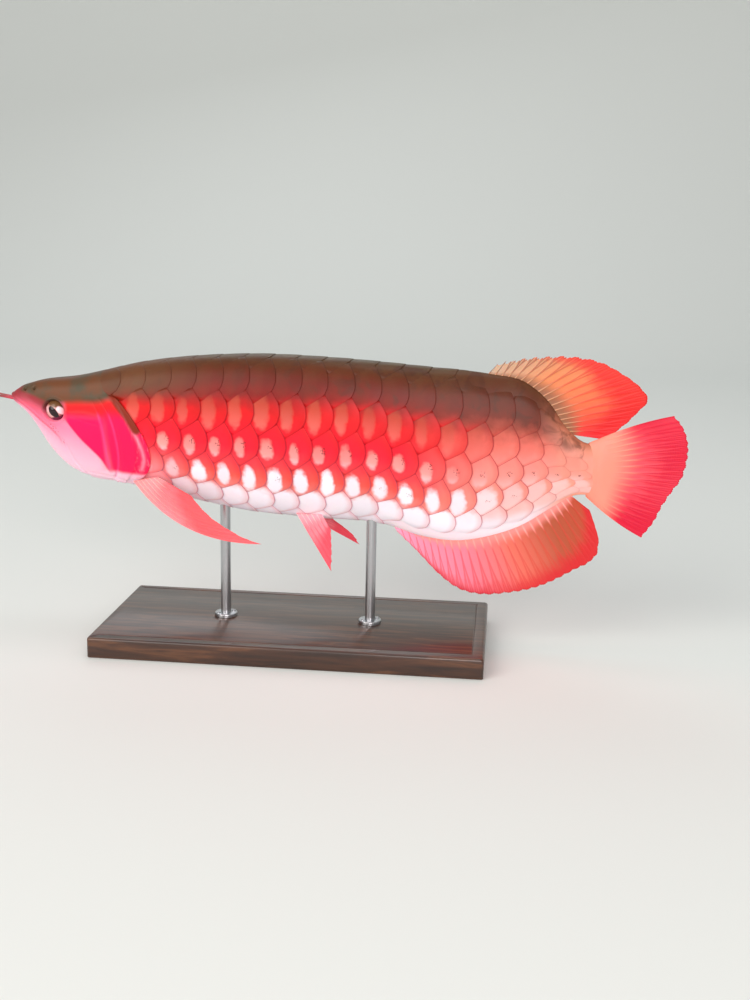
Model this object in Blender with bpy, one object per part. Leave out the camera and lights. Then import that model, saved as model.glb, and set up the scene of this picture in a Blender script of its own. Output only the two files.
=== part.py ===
# Super-red Asian arowana, a still life-size model held on a plain display stand.
# Fish frame, in millimetres: x runs from the tip of the jaw back to the tail, y across to
# the right flank, z up. The part's frame has its origin under the middle of the model.
import math

import bmesh
import bpy
import numpy as np

MM = 0.001
GAP = 0.3  # between pieces that touch
FISH_LENGTH = 521.0  # jaw tip to the end of the tail fin
BARBEL_REACH = 30.0
BASE_SIZE = (300.0, 140.0, 16.0)
FLOOR_TO_JAW = 188.0
MIDDLE_X = (FISH_LENGTH - BARBEL_REACH) / 2

# Profiles along the fish, as (x, value)
BACK = ((0, 1.5), (6, 7), (16, 11), (54, 17.5), (106, 30), (182, 38), (257, 37), (326, 32.5),
        (372, 29), (400, 23), (417, 9), (430, -9), (442, -19.5), (460, -21))
KEEL = ((0, -2.5), (9, -10), (19, -23), (28, -38), (41, -52.5), (56, -61), (90, -66.5), (124, -73),
        (182, -84), (240, -88), (291, -90.5), (325, -100), (347, -102.5), (375, -98), (402, -87),
        (422, -73), (438, -62.5), (460, -63))
WIDEST = ((0, -0.5), (20, -3), (60, -10), (106, -14), (220, -18), (326, -24), (400, -34), (460, -42))
HALF_WIDTH = ((0, 3.5), (3, 7), (8, 10), (18, 13), (35, 16.5), (60, 20.5), (90, 24), (140, 27),
              (200, 27.5), (260, 25.5), (326, 20.5), (372, 15.5), (410, 10.5), (440, 6.5), (460, 4))
FULLNESS_ABOVE = ((0, 2.2), (40, 3.0), (110, 2.7), (300, 2.5), (400, 1.9), (460, 2.0))
FULLNESS_BELOW = ((0, 2.0), (40, 1.9), (110, 1.7), (300, 1.6), (400, 1.7), (460, 2.0))

GILL_LINE = ((66, 60), (72, 26), (80, 8), (90, 3), (99, -7), (107, -19), (113, -31), (114.5, -43),
             (111, -53), (103, -61), (92, -70), (84, -90))
GILL_COVER = ((74, -3), (82, 2), (90, 3), (99, -7), (107, -19), (113, -31), (114.5, -43), (111, -53),
              (101, -59), (88, -57), (79, -48), (74, -32), (72, -16))
GILL_COVER_DEPTH = 3.4
MOUTH_LINE = ((-4, 1.2), (0, -0.6), (5, -2.5), (15, -8.5), (25, -16), (34, -22.5), (40, -29))
JAW_REAR = ((44, -38), (50, -50), (58, -70))
LIP_RADIUS = 1.4
NOSTRILS = ((13.0, 0.27), (21.0, 0.25))  # x and share of the girth
NOSTRIL_RADIUS = 1.2
TAIL_JOINT_X = 300.0
TAIL_END_X = 456.0

# Scales: columns along the body, rows from the ridge of the back (0) to the keel (6)
SCALE_START = 75.8
COLUMN = 20.0
TAIL_CROWDING = 0.5
CROWDING_FROM = 14.7
ROW_SHIFT = 0.22
ROWS_MIDBODY = (0, 0.215, 0.385, 0.555, 0.735, 0.87, 1)
ROWS_TAIL = (0, 0.245, 0.455, 0.61, 0.74, 0.87, 1)
ROWS_CHANGE = (330.0, 410.0)
SCALE_RISE = 1.1

EYE_CENTRE = (38.0, 12.2, -8.5)
EYE_RADII = (8.2, 6.4, 8.2)
BARBEL_RADII = (1.05, 0.35)
ROD_PLACES = {"stand_rod_front": 168.0, "stand_rod_rear": 284.0}
ROD_RADIUS = 4.0
ROD_SINK = 12.0
FLANGE_RADIUS = 9.0
FLANGE_HEIGHT = 3.0
TENON = 8.0

DORSAL_ROOT = ((0, 371, 30), (0.3, 397, 24.5), (0.52, 414, 13), (0.75, 425.5, -2), (1, 436, -15.5))
DORSAL_TIP = ((0, 377, 36.5), (0.1, 388, 40.5), (0.24, 409, 44), (0.37, 432, 44), (0.48, 453, 40),
              (0.58, 469, 32), (0.67, 482, 23), (0.75, 489, 13), (0.83, 482, 3), (0.91, 473, -7),
              (1, 459, -18))
ANAL_ROOT = ((0, 302.5, -93.5), (0.16, 325, -100.5), (0.32, 348, -103), (0.5, 375, -98.5),
             (0.7, 402, -87.5), (0.85, 422, -73.5), (0.94, 431, -66), (1, 437, -62.8))
ANAL_TIP = ((0, 304.5, -96.5), (0.1, 321, -113), (0.2, 337, -129), (0.3, 354, -140.5),
            (0.4, 373, -144.5), (0.5, 393, -142), (0.6, 411, -137), (0.7, 427, -130),
            (0.8, 443, -120.5), (0.88, 454, -113), (0.94, 459, -103), (0.98, 457, -88), (1, 451, -73))
CAUDAL_ROOT = ((0, 456.3, -22.5), (0.5, 456.3, -42), (1, 456.3, -61.5))
CAUDAL_TIP = ((0, 509, 1.5), (0.1, 515, -5), (0.25, 520.3, -18), (0.4, 521, -32), (0.52, 518, -46),
              (0.62, 511.5, -56), (0.72, 505, -67), (0.85, 499.5, -80), (1, 491, -93))
RAY_TIP_HALF = 0.38
WEB_HALF = 0.27
NOTCH = 1.8  # how far the membranes' edge stays behind the ray tips
FIN_CLEARANCE = 0.2  # more than the gap, as the back and the keel are curved
PAIRED_NOTCHES = {"pectoral_fin": 0.5, "pelvic_fin": 3.6}
PECTORAL_ROOT = ((0, 102, 14.5, -63), (0.5, 112.5, 17.8, -60.5), (1, 123, 20.5, -58))
PECTORAL_TIP = ((0, 208, 54, -97), (0.2, 194, 50, -94), (0.4, 179, 45.5, -88), (0.6, 167, 41, -82),
                (0.8, 157, 36, -75), (1, 149, 31, -68))
PECTORAL_BOW = (-6, 4, -12)  # how far the middle of the leading ray bends off its chord
PELVIC_ROOT = ((0, 227, 6.5, -86), (0.5, 237, 6.5, -86.5), (1, 247, 6, -86))
PELVIC_TIP = ((0, 256, 24, -124), (0.35, 256, 21, -112), (0.7, 255, 17, -103), (1, 254, 12, -95))


def spline(knots):
    """A smooth curve through the knots, each a parameter followed by one or more values."""
    at = np.array([knot[0] for knot in knots], float)
    value = np.array([knot[1:] for knot in knots], float)
    span = np.diff(at)[:, None]
    secant = np.diff(value, axis=0) / span
    inner = (secant[:-1] * span[1:] + secant[1:] * span[:-1]) / (span[1:] + span[:-1])
    slope = np.vstack([secant[:1], inner, secant[-1:]])

    def curve(t):
        t = min(max(t, at[0]), at[-1])
        i = min(int(np.searchsorted(at, t, side="right")) - 1, len(at) - 2)
        width = at[i + 1] - at[i]
        w = (t - at[i]) / width
        point = (
            (1 + 2 * w) * (1 - w) ** 2 * value[i]
            + w * (1 - w) ** 2 * width * slope[i]
            + w * w * (3 - 2 * w) * value[i + 1]
            - w * w * (1 - w) * width * slope[i + 1]
        )
        return point if len(point) > 1 else float(point[0])

    return curve


profile = {
    "back": spline(BACK),
    "keel": spline(KEEL),
    "widest": spline(WIDEST),
    "half": spline(HALF_WIDTH),
    "above": spline(FULLNESS_ABOVE),
    "below": spline(FULLNESS_BELOW),
}
TURN = np.linspace(0, math.pi, 61)


def section(x, thinner=0.0):
    """The right half of the body's outline across x, from the back down to the keel, as (y, z)."""
    at = {name: curve(x) for name, curve in profile.items()}
    cosine, sine = np.cos(TURN), np.abs(np.sin(TURN))
    power = 2 / np.where(cosine >= 0, at["above"], at["below"])
    height = np.where(cosine >= 0, at["back"] - at["widest"], at["widest"] - at["keel"])
    y = (at["half"] - thinner) * sine**power
    z = at["widest"] + np.sign(cosine) * height * np.abs(cosine) ** power
    return y, z


def flank(x, share, thinner=0.0):
    """The point of the right flank at x, this share of the way round from back to keel."""
    y, z = section(x, thinner)
    run = np.concatenate([[0], np.cumsum(np.hypot(np.diff(y), np.diff(z)))])
    at = share * run[-1]
    return np.array([x, np.interp(at, run, y), np.interp(at, run, z)])


def outward(x, share):
    """The unit normal of the right flank."""
    along = flank(x + 1, share) - flank(x - 1, share)
    around = flank(x, min(share + 0.01, 1)) - flank(x, max(share - 0.01, 0))
    normal = np.cross(along, around)
    if share in (0, 1):
        normal[1] = 0
    return normal / np.linalg.norm(normal)


def share_at(x, z):
    """How far round the flank from back to keel it comes to this height."""
    y, heights = section(x)
    run = np.concatenate([[0], np.cumsum(np.hypot(np.diff(y), np.diff(heights)))])
    return float(np.interp(-z, -heights, run / run[-1]))


def new_mesh(name, points, faces):
    """An object of these points, given in the fish frame, with its faces turned outwards."""
    mesh = bpy.data.meshes.new(name)
    placed = [((x - MIDDLE_X) * MM, y * MM, (z + FLOOR_TO_JAW) * MM) for x, y, z in points]
    mesh.from_pydata(placed, [], [list(face) for face in faces])
    work = bmesh.new()
    work.from_mesh(mesh)
    bmesh.ops.recalc_face_normals(work, faces=work.faces)
    work.to_mesh(mesh)
    work.free()
    piece = bpy.data.objects.new(name, mesh)
    bpy.context.scene.collection.objects.link(piece)
    return piece


def body_loft(name, places, around, thinner=0.0):
    """The body's skin between the first and the last place, closed by a flat face at each end."""
    half = around // 2
    points, faces = [], []
    for x in places:
        ring = [flank(x, j / half, thinner) for j in range(half + 1)]
        ring += [point * (1, -1, 1) for point in ring[half - 1 : 0 : -1]]
        points += ring
    for i in range(len(places) - 1):
        for j in range(around):
            k = (j + 1) % around
            faces.append((i * around + j, i * around + k, (i + 1) * around + k, (i + 1) * around + j))
    faces.append(range(around))
    faces.append(range((len(places) - 1) * around, len(places) * around))
    return new_mesh(name, points, faces)


def prism(name, outline, y_low=-60.0, y_high=60.0):
    """A side view's outline, as (x, z) points, carried straight across the fish."""
    count = len(outline)
    points = [(x, y, z) for y in (y_low, y_high) for x, z in outline]
    faces = [range(count), range(count, 2 * count)]
    for i in range(count):
        j = (i + 1) % count
        faces.append((i, j, count + j, count + i))
    return new_mesh(name, points, faces)


def grown(outline, by):
    """A closed outline moved outwards by this much, or inwards where it is negative."""
    ring = np.array(outline, float)
    after, before = np.roll(ring, -1, axis=0), np.roll(ring, 1, axis=0)
    along = after - before
    along /= np.linalg.norm(along, axis=1)[:, None]
    across = np.stack([along[:, 1], -along[:, 0]], axis=1)
    area = np.sum(ring[:, 0] * after[:, 1] - after[:, 0] * ring[:, 1])
    return ring + across * by * np.sign(area)


def rounded(outline, steps=3):
    """A smooth closed curve through an outline's points."""
    count = len(outline)
    wrapped = [(i, *outline[i % count]) for i in range(-2, count + 3)]
    curve = spline(wrapped)
    return [curve(i / steps) for i in range(count * steps)]


def smooth_line(line, steps=3):
    curve = spline([(i, *point) for i, point in enumerate(line)])
    return [curve(i / steps) for i in range((len(line) - 1) * steps + 1)]


def ellipsoid(name, centre, radii, turns=20, rings=10, tilt=0.0, grow=0.0):
    """An egg shape whose short way across points out of the head, turned forwards by tilt."""
    points, faces = [], []
    for i in range(1, rings):
        down = math.pi * i / rings
        for j in range(turns):
            round_it = 2 * math.pi * j / turns
            x = (radii[0] + grow) * math.sin(down) * math.cos(round_it)
            y = (radii[1] + grow) * math.cos(down)
            z = (radii[2] + grow) * math.sin(down) * math.sin(round_it)
            side = math.copysign(1, centre[1])
            turned = (
                x * math.cos(tilt) - y * math.sin(tilt),
                side * (x * math.sin(tilt) + y * math.cos(tilt)),
                z,
            )
            points.append(np.array(centre) + turned)
    pole = (-math.sin(tilt), math.copysign(math.cos(tilt), centre[1]), 0)
    points.append(np.array(centre) + np.array(pole) * (radii[1] + grow))
    points.append(np.array(centre) - np.array(pole) * (radii[1] + grow))
    last = (rings - 1) * turns
    for j in range(turns):
        k = (j + 1) % turns
        faces.append((last, j, k))
        faces.append((last + 1, last - turns + k, last - turns + j))
        for i in range(rings - 2):
            faces.append((i * turns + j, (i + 1) * turns + j, (i + 1) * turns + k, i * turns + k))
    return new_mesh(name, points, faces)


def tube(name, path, radii, sides=8):
    """A round tube along the path, with a radius for each of its points and flat ends."""
    path = [np.array(point, float) for point in path]
    points, faces = [], []
    for i, point in enumerate(path):
        along = path[min(i + 1, len(path) - 1)] - path[max(i - 1, 0)]
        along /= np.linalg.norm(along)
        across = np.cross(along, (0, 0, 1) if abs(along[2]) < 0.9 else (1, 0, 0))
        across /= np.linalg.norm(across)
        up = np.cross(across, along)
        for j in range(sides):
            turn = 2 * math.pi * j / sides
            points.append(point + radii[i] * (math.cos(turn) * across + math.sin(turn) * up))
    for i in range(len(path) - 1):
        for j in range(sides):
            k = (j + 1) % sides
            faces.append((i * sides + j, i * sides + k, (i + 1) * sides + k, (i + 1) * sides + j))
    faces.append(range(sides))
    faces.append(range((len(path) - 1) * sides, len(path) * sides))
    return new_mesh(name, points, faces)


def turned(name, x, outline, sides=20):
    """A shape turned on an upright axis at x, from (radius, height above the floor) points."""
    points, faces = [], []
    for radius, height in outline:
        for j in range(sides):
            turn = 2 * math.pi * (j + 0.5) / sides
            across = (radius * math.cos(turn), radius * math.sin(turn))
            points.append((x + across[0], across[1], height - FLOOR_TO_JAW))
    for i in range(len(outline) - 1):
        for j in range(sides):
            k = (j + 1) % sides
            faces.append((i * sides + j, i * sides + k, (i + 1) * sides + k, (i + 1) * sides + j))
    faces.append(range(sides))
    faces.append(range((len(outline) - 1) * sides, len(outline) * sides))
    return new_mesh(name, points, faces)


def boolean(piece, other, operation):
    """Cuts, joins or keeps what is common, and removes the other object."""
    modifier = piece.modifiers.new(operation, "BOOLEAN")
    modifier.operation = operation
    modifier.solver = "EXACT"
    modifier.object = other
    bpy.context.view_layer.objects.active = piece
    bpy.ops.object.modifier_apply(modifier=modifier.name)
    bpy.data.objects.remove(other)


def islands(piece):
    """The closed surfaces of a mesh, each as a set of face indices, largest box first."""
    work = bmesh.new()
    work.from_mesh(piece.data)
    seen, found = set(), []
    for start in work.faces:
        if start.index in seen:
            continue
        stack, group = [start], set()
        while stack:
            face = stack.pop()
            if face.index in group:
                continue
            group.add(face.index)
            stack += [other for edge in face.edges for other in edge.link_faces]
        seen |= group
        work.faces.ensure_lookup_table()
        corners = np.array([v.co[:] for i in group for v in work.faces[i].verts])
        found.append((float(np.prod(np.ptp(corners, axis=0))), group))
    work.free()
    return [group for _, group in sorted(found, key=lambda item: -item[0])]


def keep_largest(piece):
    """Drops every closed surface of the mesh but the largest."""
    largest = islands(piece)[0]
    work = bmesh.new()
    work.from_mesh(piece.data)
    spare = [face for face in work.faces if face.index not in largest]
    bmesh.ops.delete(work, geom=spare, context="FACES")
    work.to_mesh(piece.data)
    work.free()


def material(name, colour, roughness, metallic=0.0):
    finish = bpy.data.materials.new(name)
    finish.use_nodes = True
    shader = finish.node_tree.nodes["Principled BSDF"]
    shader.inputs["Base Color"].default_value = (*colour, 1)
    shader.inputs["Roughness"].default_value = roughness
    shader.inputs["Metallic"].default_value = metallic
    return finish


def finish_node(piece, colour, roughness, metallic=0.0):
    piece.data.materials.clear()
    piece.data.materials.append(material(piece.name + "_finish", colour, roughness, metallic))
    for polygon in piece.data.polygons:
        polygon.use_smooth = True
    piece.data.set_sharp_from_angle(angle=math.radians(35))
    return piece


def fin_blade(name, roots, tips, thickness, rows=5, bow=(0, 0, 0)):
    """A fin of rays and webs between a root line and a line of tips.

    Even columns are rays and odd ones the membrane between them; thickness gives the half
    thickness for a share across the fin, a share out along the ray, and ray or membrane. bow
    bends the leading ray off its chord, and the others less and less.
    """
    roots, tips = np.array(roots, float), np.array(tips, float)
    columns = len(roots)
    bent = 4 * np.linspace(1, 0, columns)[:, None] * np.array(bow)
    steps = [i / rows for i in range(rows + 1)]
    middle = [roots + (tips - roots) * out + bent * out * (1 - out) for out in steps]
    faces, sheets = [], []
    for side in (1, -1):
        sheet = []
        for i, out in enumerate(steps):
            across = np.gradient(middle[i], axis=0)
            normal = np.cross(tips - roots + bent * (1 - 2 * out), across)
            normal /= np.linalg.norm(normal, axis=1)[:, None]
            half = [thickness(j / (columns - 1), out, j % 2 == 0) for j in range(columns)]
            sheet.append(middle[i] + side * normal * np.array(half)[:, None])
        sheets.append(np.concatenate(sheet))
    count = (rows + 1) * columns
    for i in range(rows):
        for j in range(columns - 1):
            a, b = i * columns + j, (i + 1) * columns + j
            for shift, flip in ((0, 1), (count, -1)):
                faces.append((a + shift, b + shift, b + 1 + shift)[::flip])
                faces.append((a + shift, b + 1 + shift, a + 1 + shift)[::flip])
    rim = list(range(columns))
    rim += [i * columns + columns - 1 for i in range(1, rows + 1)]
    rim += [rows * columns + j for j in range(columns - 2, -1, -1)]
    rim += [i * columns for i in range(rows - 1, 0, -1)]
    for a, b in zip(rim, rim[1:] + rim[:1]):
        faces.append((a, b, b + count))
        faces.append((a, b + count, a + count))
    return new_mesh(name, np.concatenate(sheets), faces)


def fan(root_knots, tip_knots, rays, notch, mirror=1):
    """Root and tip points of a fin's rays and, between them, of its membranes.

    notch is how far the membranes' edge stays behind the ray tips.
    """
    root, tip = spline(root_knots), spline(tip_knots)
    roots, tips = [], []
    for i in range(2 * rays - 1):
        share = i / (2 * rays - 2)
        pair = [np.array(line(share)) for line in (root, tip)]
        if len(pair[0]) == 2:
            pair = [np.array((point[0], 0, point[1])) for point in pair]
        pair = [point * (1, mirror, 1) for point in pair]
        if i % 2:
            ray = pair[1] - pair[0]
            pair[1] = pair[1] - ray * min(0.3, notch / np.linalg.norm(ray))
        roots.append(pair[0])
        tips.append(pair[1])
    return roots, tips


def tapered(root_half, ray_half):
    """Half thickness of rays and membranes that swell together into the fin's root."""

    def half(across, out, is_ray):
        blade = ray_half - (ray_half - RAY_TIP_HALF) * out if is_ray else WEB_HALF
        return blade + (root_half - blade) * (1 - out) ** 6

    return half


def caudal_half(across, out, is_ray):
    """As tapered, with a root as thick as the end of the body that it grows from."""
    rounding = math.sqrt(max(0.12, 1 - (2 * across - 1) ** 2))
    return tapered(3.4 * rounding, 0.75)(across, out, is_ray)


def median_fins():
    shapes = {
        "dorsal_fin": (DORSAL_ROOT, DORSAL_TIP, 19, tapered(1.5, 0.75), (0.55, 0.12, 0.05)),
        "anal_fin": (ANAL_ROOT, ANAL_TIP, 27, tapered(1.5, 0.7), (0.5, 0.1, 0.05)),
        "caudal_fin": (CAUDAL_ROOT, CAUDAL_TIP, 17, caudal_half, (0.6, 0.04, 0.08)),
    }
    for name, (root, tip, rays, half, colour) in shapes.items():
        roots, tips = fan(root, tip, rays, NOTCH)
        if name != "caudal_fin":
            roots = [lifted(point, name == "dorsal_fin") for point in roots]
        finish_node(fin_blade(name, roots, tips, half), colour, 0.45)


def lifted(point, above):
    """A root point of a fin set the gap away from the back or the keel under it."""
    x = point[0]
    curve, side = (profile["back"], 1) if above else (profile["keel"], -1)
    slope = (curve(x + 1) - curve(x - 1)) / 2
    away = np.array([-slope, 0, 1]) * side / math.hypot(slope, 1)
    return np.array([x, 0, curve(x)]) + away * (GAP + FIN_CLEARANCE)


def paired_fins():
    shapes = {
        "pectoral_fin": (PECTORAL_ROOT, PECTORAL_TIP, 7, tapered(1.7, 0.9), PECTORAL_BOW),
        "pelvic_fin": (PELVIC_ROOT, PELVIC_TIP, 6, tapered(1.6, 0.7), (0, 0, 0)),
    }
    for name, (root, tip, rays, half, bow) in shapes.items():
        for side, mirror in (("right", 1), ("left", -1)):
            roots, tips = fan(root, tip, rays, PAIRED_NOTCHES[name], mirror)
            bow_here = np.array(bow) * (1, mirror, 1)
            blade = fin_blade(f"{name}_{side}", roots, tips, half, rows=6, bow=bow_here)
            finish_node(blade, (0.65, 0.13, 0.13), 0.45)


def fin_sockets():
    """Cutters for the shallow hollows that the paired fins' roots sit in."""
    for root_knots, tip_knots, half in (
        (PECTORAL_ROOT, PECTORAL_TIP, 1.7),
        (PELVIC_ROOT, PELVIC_TIP, 1.6),
    ):
        for mirror in (1, -1):
            roots, _ = fan(root_knots, tip_knots, 2, 0, mirror)
            path = [roots[0] + (-GAP * 2, 0, 0), roots[1], roots[2] + (GAP * 2, 0, 0)]
            yield tube("socket", path, [half + 2 * GAP] * 3, sides=12)


def snout():
    """The head and the lower jaw with their sockets cut, still in one piece."""
    places = [128 * (i / 36) ** 1.35 for i in range(37)]
    head = body_loft("head", places, 40)
    for mirror in (1, -1):
        centre = (EYE_CENTRE[0], mirror * EYE_CENTRE[1], EYE_CENTRE[2])
        boolean(head, ellipsoid("socket", centre, EYE_RADII, tilt=0.2, grow=GAP), "DIFFERENCE")
    boolean(head, lips(), "UNION")
    for x, share in NOSTRILS:
        for mirror in (1, -1):
            centre = flank(x, share) * (1, mirror, 1)
            pit = ellipsoid("pit", centre, [NOSTRIL_RADIUS] * 3, turns=8, rings=6)
            boolean(head, pit, "DIFFERENCE")
    return head


def lips():
    """A bead round the mouth, which the mouth line splits into an upper and a lower lip."""
    line = spline([(x, z) for x, z in MOUTH_LINE])
    side = []
    for x in (39, 34, 29, 24, 19, 14.5, 10.5, 7, 4, 2):
        side.append(flank(x, share_at(x, line(x))) - (0, 0.3, 0))
    front = [np.array((0.2, 3.2, line(0))), np.array((-0.2, 0, line(0)))]
    path = side + front + [point * (1, -1, 1) for point in [front[0]] + side[::-1]]
    last = len(path) - 1
    radii = [LIP_RADIUS * min(1, 0.55 + 0.15 * min(i, last - i)) for i in range(last + 1)]
    return tube("lips", path, radii)


def region_behind_gills(gap):
    line = [(x + gap, z) for x, z in smooth_line(GILL_LINE)]
    return prism("behind", line + [(220, -90), (220, 60)])


def region_before_gills(gap):
    line = [(x + gap, z) for x, z in smooth_line(GILL_LINE)]
    return prism("before", line + [(-20, -90), (-20, 60)])


def jaw_region(gap):
    line = smooth_line(MOUTH_LINE + JAW_REAR)
    return prism("jaw", grown(line + [(20, -80), (-20, -60), (-20, 0)], gap))


def cover_region(gap, thickness, mirror):
    """The gill cover's side outline, from the head's middle layer outwards."""
    sides = (4.0, 60.0) if mirror > 0 else (-60.0, -4.0)
    region = prism("cover", grown(rounded(GILL_COVER), gap), *sides)
    core = body_loft("core", [40 + 5 * i for i in range(18)], 40, thinner=thickness)
    boolean(region, core, "DIFFERENCE")
    return region


def head_nodes():
    head = snout()
    covers = {}
    for side, mirror in (("right", 1), ("left", -1)):
        cover = head.copy()
        cover.data = head.data.copy()
        cover.name = f"gill_cover_{side}"
        bpy.context.scene.collection.objects.link(cover)
        boolean(cover, cover_region(0, GILL_COVER_DEPTH, mirror), "INTERSECT")
        boolean(cover, region_behind_gills(-GAP / 2), "DIFFERENCE")
        covers[side] = cover
    for mirror in (1, -1):
        boolean(head, cover_region(GAP, GILL_COVER_DEPTH + GAP, mirror), "DIFFERENCE")
    boolean(head, region_behind_gills(-GAP / 2), "DIFFERENCE")
    jaw = head.copy()
    jaw.data = head.data.copy()
    jaw.name = "lower_jaw"
    bpy.context.scene.collection.objects.link(jaw)
    boolean(jaw, jaw_region(-GAP / 2), "INTERSECT")
    boolean(head, jaw_region(GAP / 2), "DIFFERENCE")
    for piece in (head, jaw, *covers.values()):
        keep_largest(piece)
    finish_node(head, (0.35, 0.07, 0.05), 0.4)
    finish_node(jaw, (0.75, 0.3, 0.33), 0.4)
    for cover in covers.values():
        finish_node(cover, (0.75, 0.03, 0.12), 0.35)


def lattice_point(column, row, rise):
    """A point of the scale pattern on the right flank, raised off the body."""
    x = SCALE_START + COLUMN * column - TAIL_CROWDING * max(0, column - CROWDING_FROM) ** 2
    change = min(max((x - ROWS_CHANGE[0]) / (ROWS_CHANGE[1] - ROWS_CHANGE[0]), 0), 1)
    shares = np.array(ROWS_MIDBODY) * (1 - change) + np.array(ROWS_TAIL) * change
    share = float(np.interp(row, range(7), shares))
    return flank(x, share) + outward(x, share) * rise * scale_relief(x, row)


def scale_relief(x, row):
    """How proud the scales stand, which is less on the tail's end and under the fins."""
    relief = min(1, max(0.35, (470 - x) / 60))
    if row < 1:
        relief *= min(1, max(0.1, (368 - x) / 20))
    if row > 4.5:
        least = 0.1 if row > 5 else 0.4
        relief *= min(1, max(least, (302 - x) / 20))
    return relief


class Scales:
    """The right half of the scaled skin: cells that rise backwards to a hind edge, then drop."""

    border = {"bottom": (-0.22, 0.65), "corner": (0.5, 0.35), "hind": (0.6, 0)}
    rim = {
        "top": (0.19, -0.55, 0.5),
        "upper": (0.45, -0.31, 1),
        "back": (0.52, 0, 1),
        "lower": (0.42, 0.31, 1),
        "foot": (-0.23, 0.53, 0.5),
        "middle": (0.05, 0, 0.9),
    }

    def __init__(self):
        self.points, self.faces, self.known = [], [], {}

    def vertex(self, kind, i, k):
        if (kind, i, k) not in self.known:
            offset = self.border.get(kind) or self.rim[kind]
            rise = offset[2] * SCALE_RISE if kind in self.rim else 0
            spot = lattice_point(i + ROW_SHIFT * k + offset[0], k + offset[1], rise)
            self.known[kind, i, k] = len(self.points)
            self.points.append(spot)
        return self.known[kind, i, k]

    def cell(self, i, k):
        """One scale; the cells on the ridge and on the keel are halves."""
        above = [("corner", i, k - 1), ("bottom", i + 1, k - 1), ("hind", i, k)]
        below = [("hind", i, k), ("corner", i, k), ("bottom", i, k)]
        before = [("bottom", i, k), ("corner", i - 1, k), ("hind", i - 1, k)]
        before_above = [("hind", i - 1, k), ("bottom", i, k - 1), ("corner", i, k - 1)]
        if k > 0:
            self.strip(above, [("top", i, k), ("upper", i, k), ("back", i, k)])
            self.fan_in(i, k, [("top", i, k), ("upper", i, k), ("back", i, k)])
            self.fan_in(i, k, before_above + [("top", i, k)])
        if k < 6:
            self.strip(below, [("back", i, k), ("lower", i, k), ("foot", i, k)])
            self.fan_in(i, k, [("back", i, k), ("lower", i, k), ("foot", i, k)])
            self.fan_in(i, k, [("foot", i, k)] + before)

    def strip(self, outer, inner):
        for a in range(2):
            ring = outer[a], outer[a + 1], inner[a + 1], inner[a]
            one, two, three, four = (self.vertex(*key) for key in ring)
            self.faces += [(one, two, three), (one, three, four)]

    def fan_in(self, i, k, keys):
        middle = self.vertex("middle", i, k)
        for a, b in zip(keys, keys[1:]):
            self.faces.append((middle, self.vertex(*a), self.vertex(*b)))


def scaled_body(name):
    """Both halves of the scaled skin, joined on the middle plane and closed at the ends."""
    scales = Scales()
    for k in range(7):
        first = math.ceil(-0.8 - ROW_SHIFT * k)
        for i in range(first, first + 22):
            scales.cell(i, k)
    count = len(scales.points)
    points = scales.points + [point * (1, -1, 1) for point in scales.points]
    faces = scales.faces + [tuple(count + v for v in face[::-1]) for face in scales.faces]
    body = new_mesh(name, points, faces)
    work = bmesh.new()
    work.from_mesh(body.data)
    seam = [v for v in work.verts if abs(v.co.y) < 1e-7]
    bmesh.ops.remove_doubles(work, verts=seam, dist=1e-6)
    for loop in open_loops(work):
        middle = work.verts.new(sum((v.co for v in loop), start=loop[0].co * 0) / len(loop))
        for a, b in zip(loop, loop[1:] + loop[:1]):
            work.faces.new((a, b, middle))
    bmesh.ops.recalc_face_normals(work, faces=work.faces)
    work.to_mesh(body.data)
    work.free()
    return body


def open_loops(work):
    """The rings of vertices round the holes of a mesh."""
    edges = {edge for edge in work.edges if len(edge.link_faces) == 1}
    while edges:
        edge = edges.pop()
        start, here = edge.verts
        loop = [start, here]
        while True:
            edge = next(e for e in here.link_edges if e in edges)
            edges.remove(edge)
            here = edge.other_vert(here)
            if here is start:
                break
            loop.append(here)
        yield loop


def trunk():
    """The scaled body behind the gills, in one piece."""
    body = scaled_body("torso")
    beyond = ((TAIL_END_X, -130), (TAIL_END_X, 70), (520, 70), (520, -130))
    boolean(body, prism("beyond", beyond), "DIFFERENCE")
    for socket in fin_sockets():
        boolean(body, socket, "DIFFERENCE")
    for x in ROD_PLACES.values():
        hole = turned("hole", x, ((ROD_RADIUS + GAP, 60), (ROD_RADIUS + GAP, rod_top(x) + GAP)))
        boolean(body, hole, "DIFFERENCE")
    return body


def rod_top(x):
    """The height above the floor of a rod's end, inside the body."""
    return FLOOR_TO_JAW + profile["keel"](x) + ROD_SINK


def body_nodes():
    torso = trunk()
    tail = torso.copy()
    tail.data = torso.data.copy()
    tail.name = "tail"
    bpy.context.scene.collection.objects.link(tail)
    joint = ((TAIL_JOINT_X - GAP / 2, -130), (TAIL_JOINT_X - GAP / 2, 70), (480, 70), (480, -130))
    front = ((TAIL_JOINT_X + GAP / 2, -130), (TAIL_JOINT_X + GAP / 2, 70), (30, 70), (30, -130))
    boolean(torso, prism("joint", joint), "DIFFERENCE")
    boolean(tail, prism("joint", front), "DIFFERENCE")
    boolean(torso, region_before_gills(GAP / 2), "DIFFERENCE")
    for piece in (torso, tail):
        keep_largest(piece)
        finish_node(piece, (0.6, 0.05, 0.04), 0.35)


def eyes():
    for side, mirror in (("right", 1), ("left", -1)):
        centre = (EYE_CENTRE[0], mirror * EYE_CENTRE[1], EYE_CENTRE[2])
        eye = ellipsoid(f"eye_{side}", centre, EYE_RADII, tilt=0.2)
        finish_node(eye, (0.55, 0.35, 0.3), 0.1)


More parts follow.
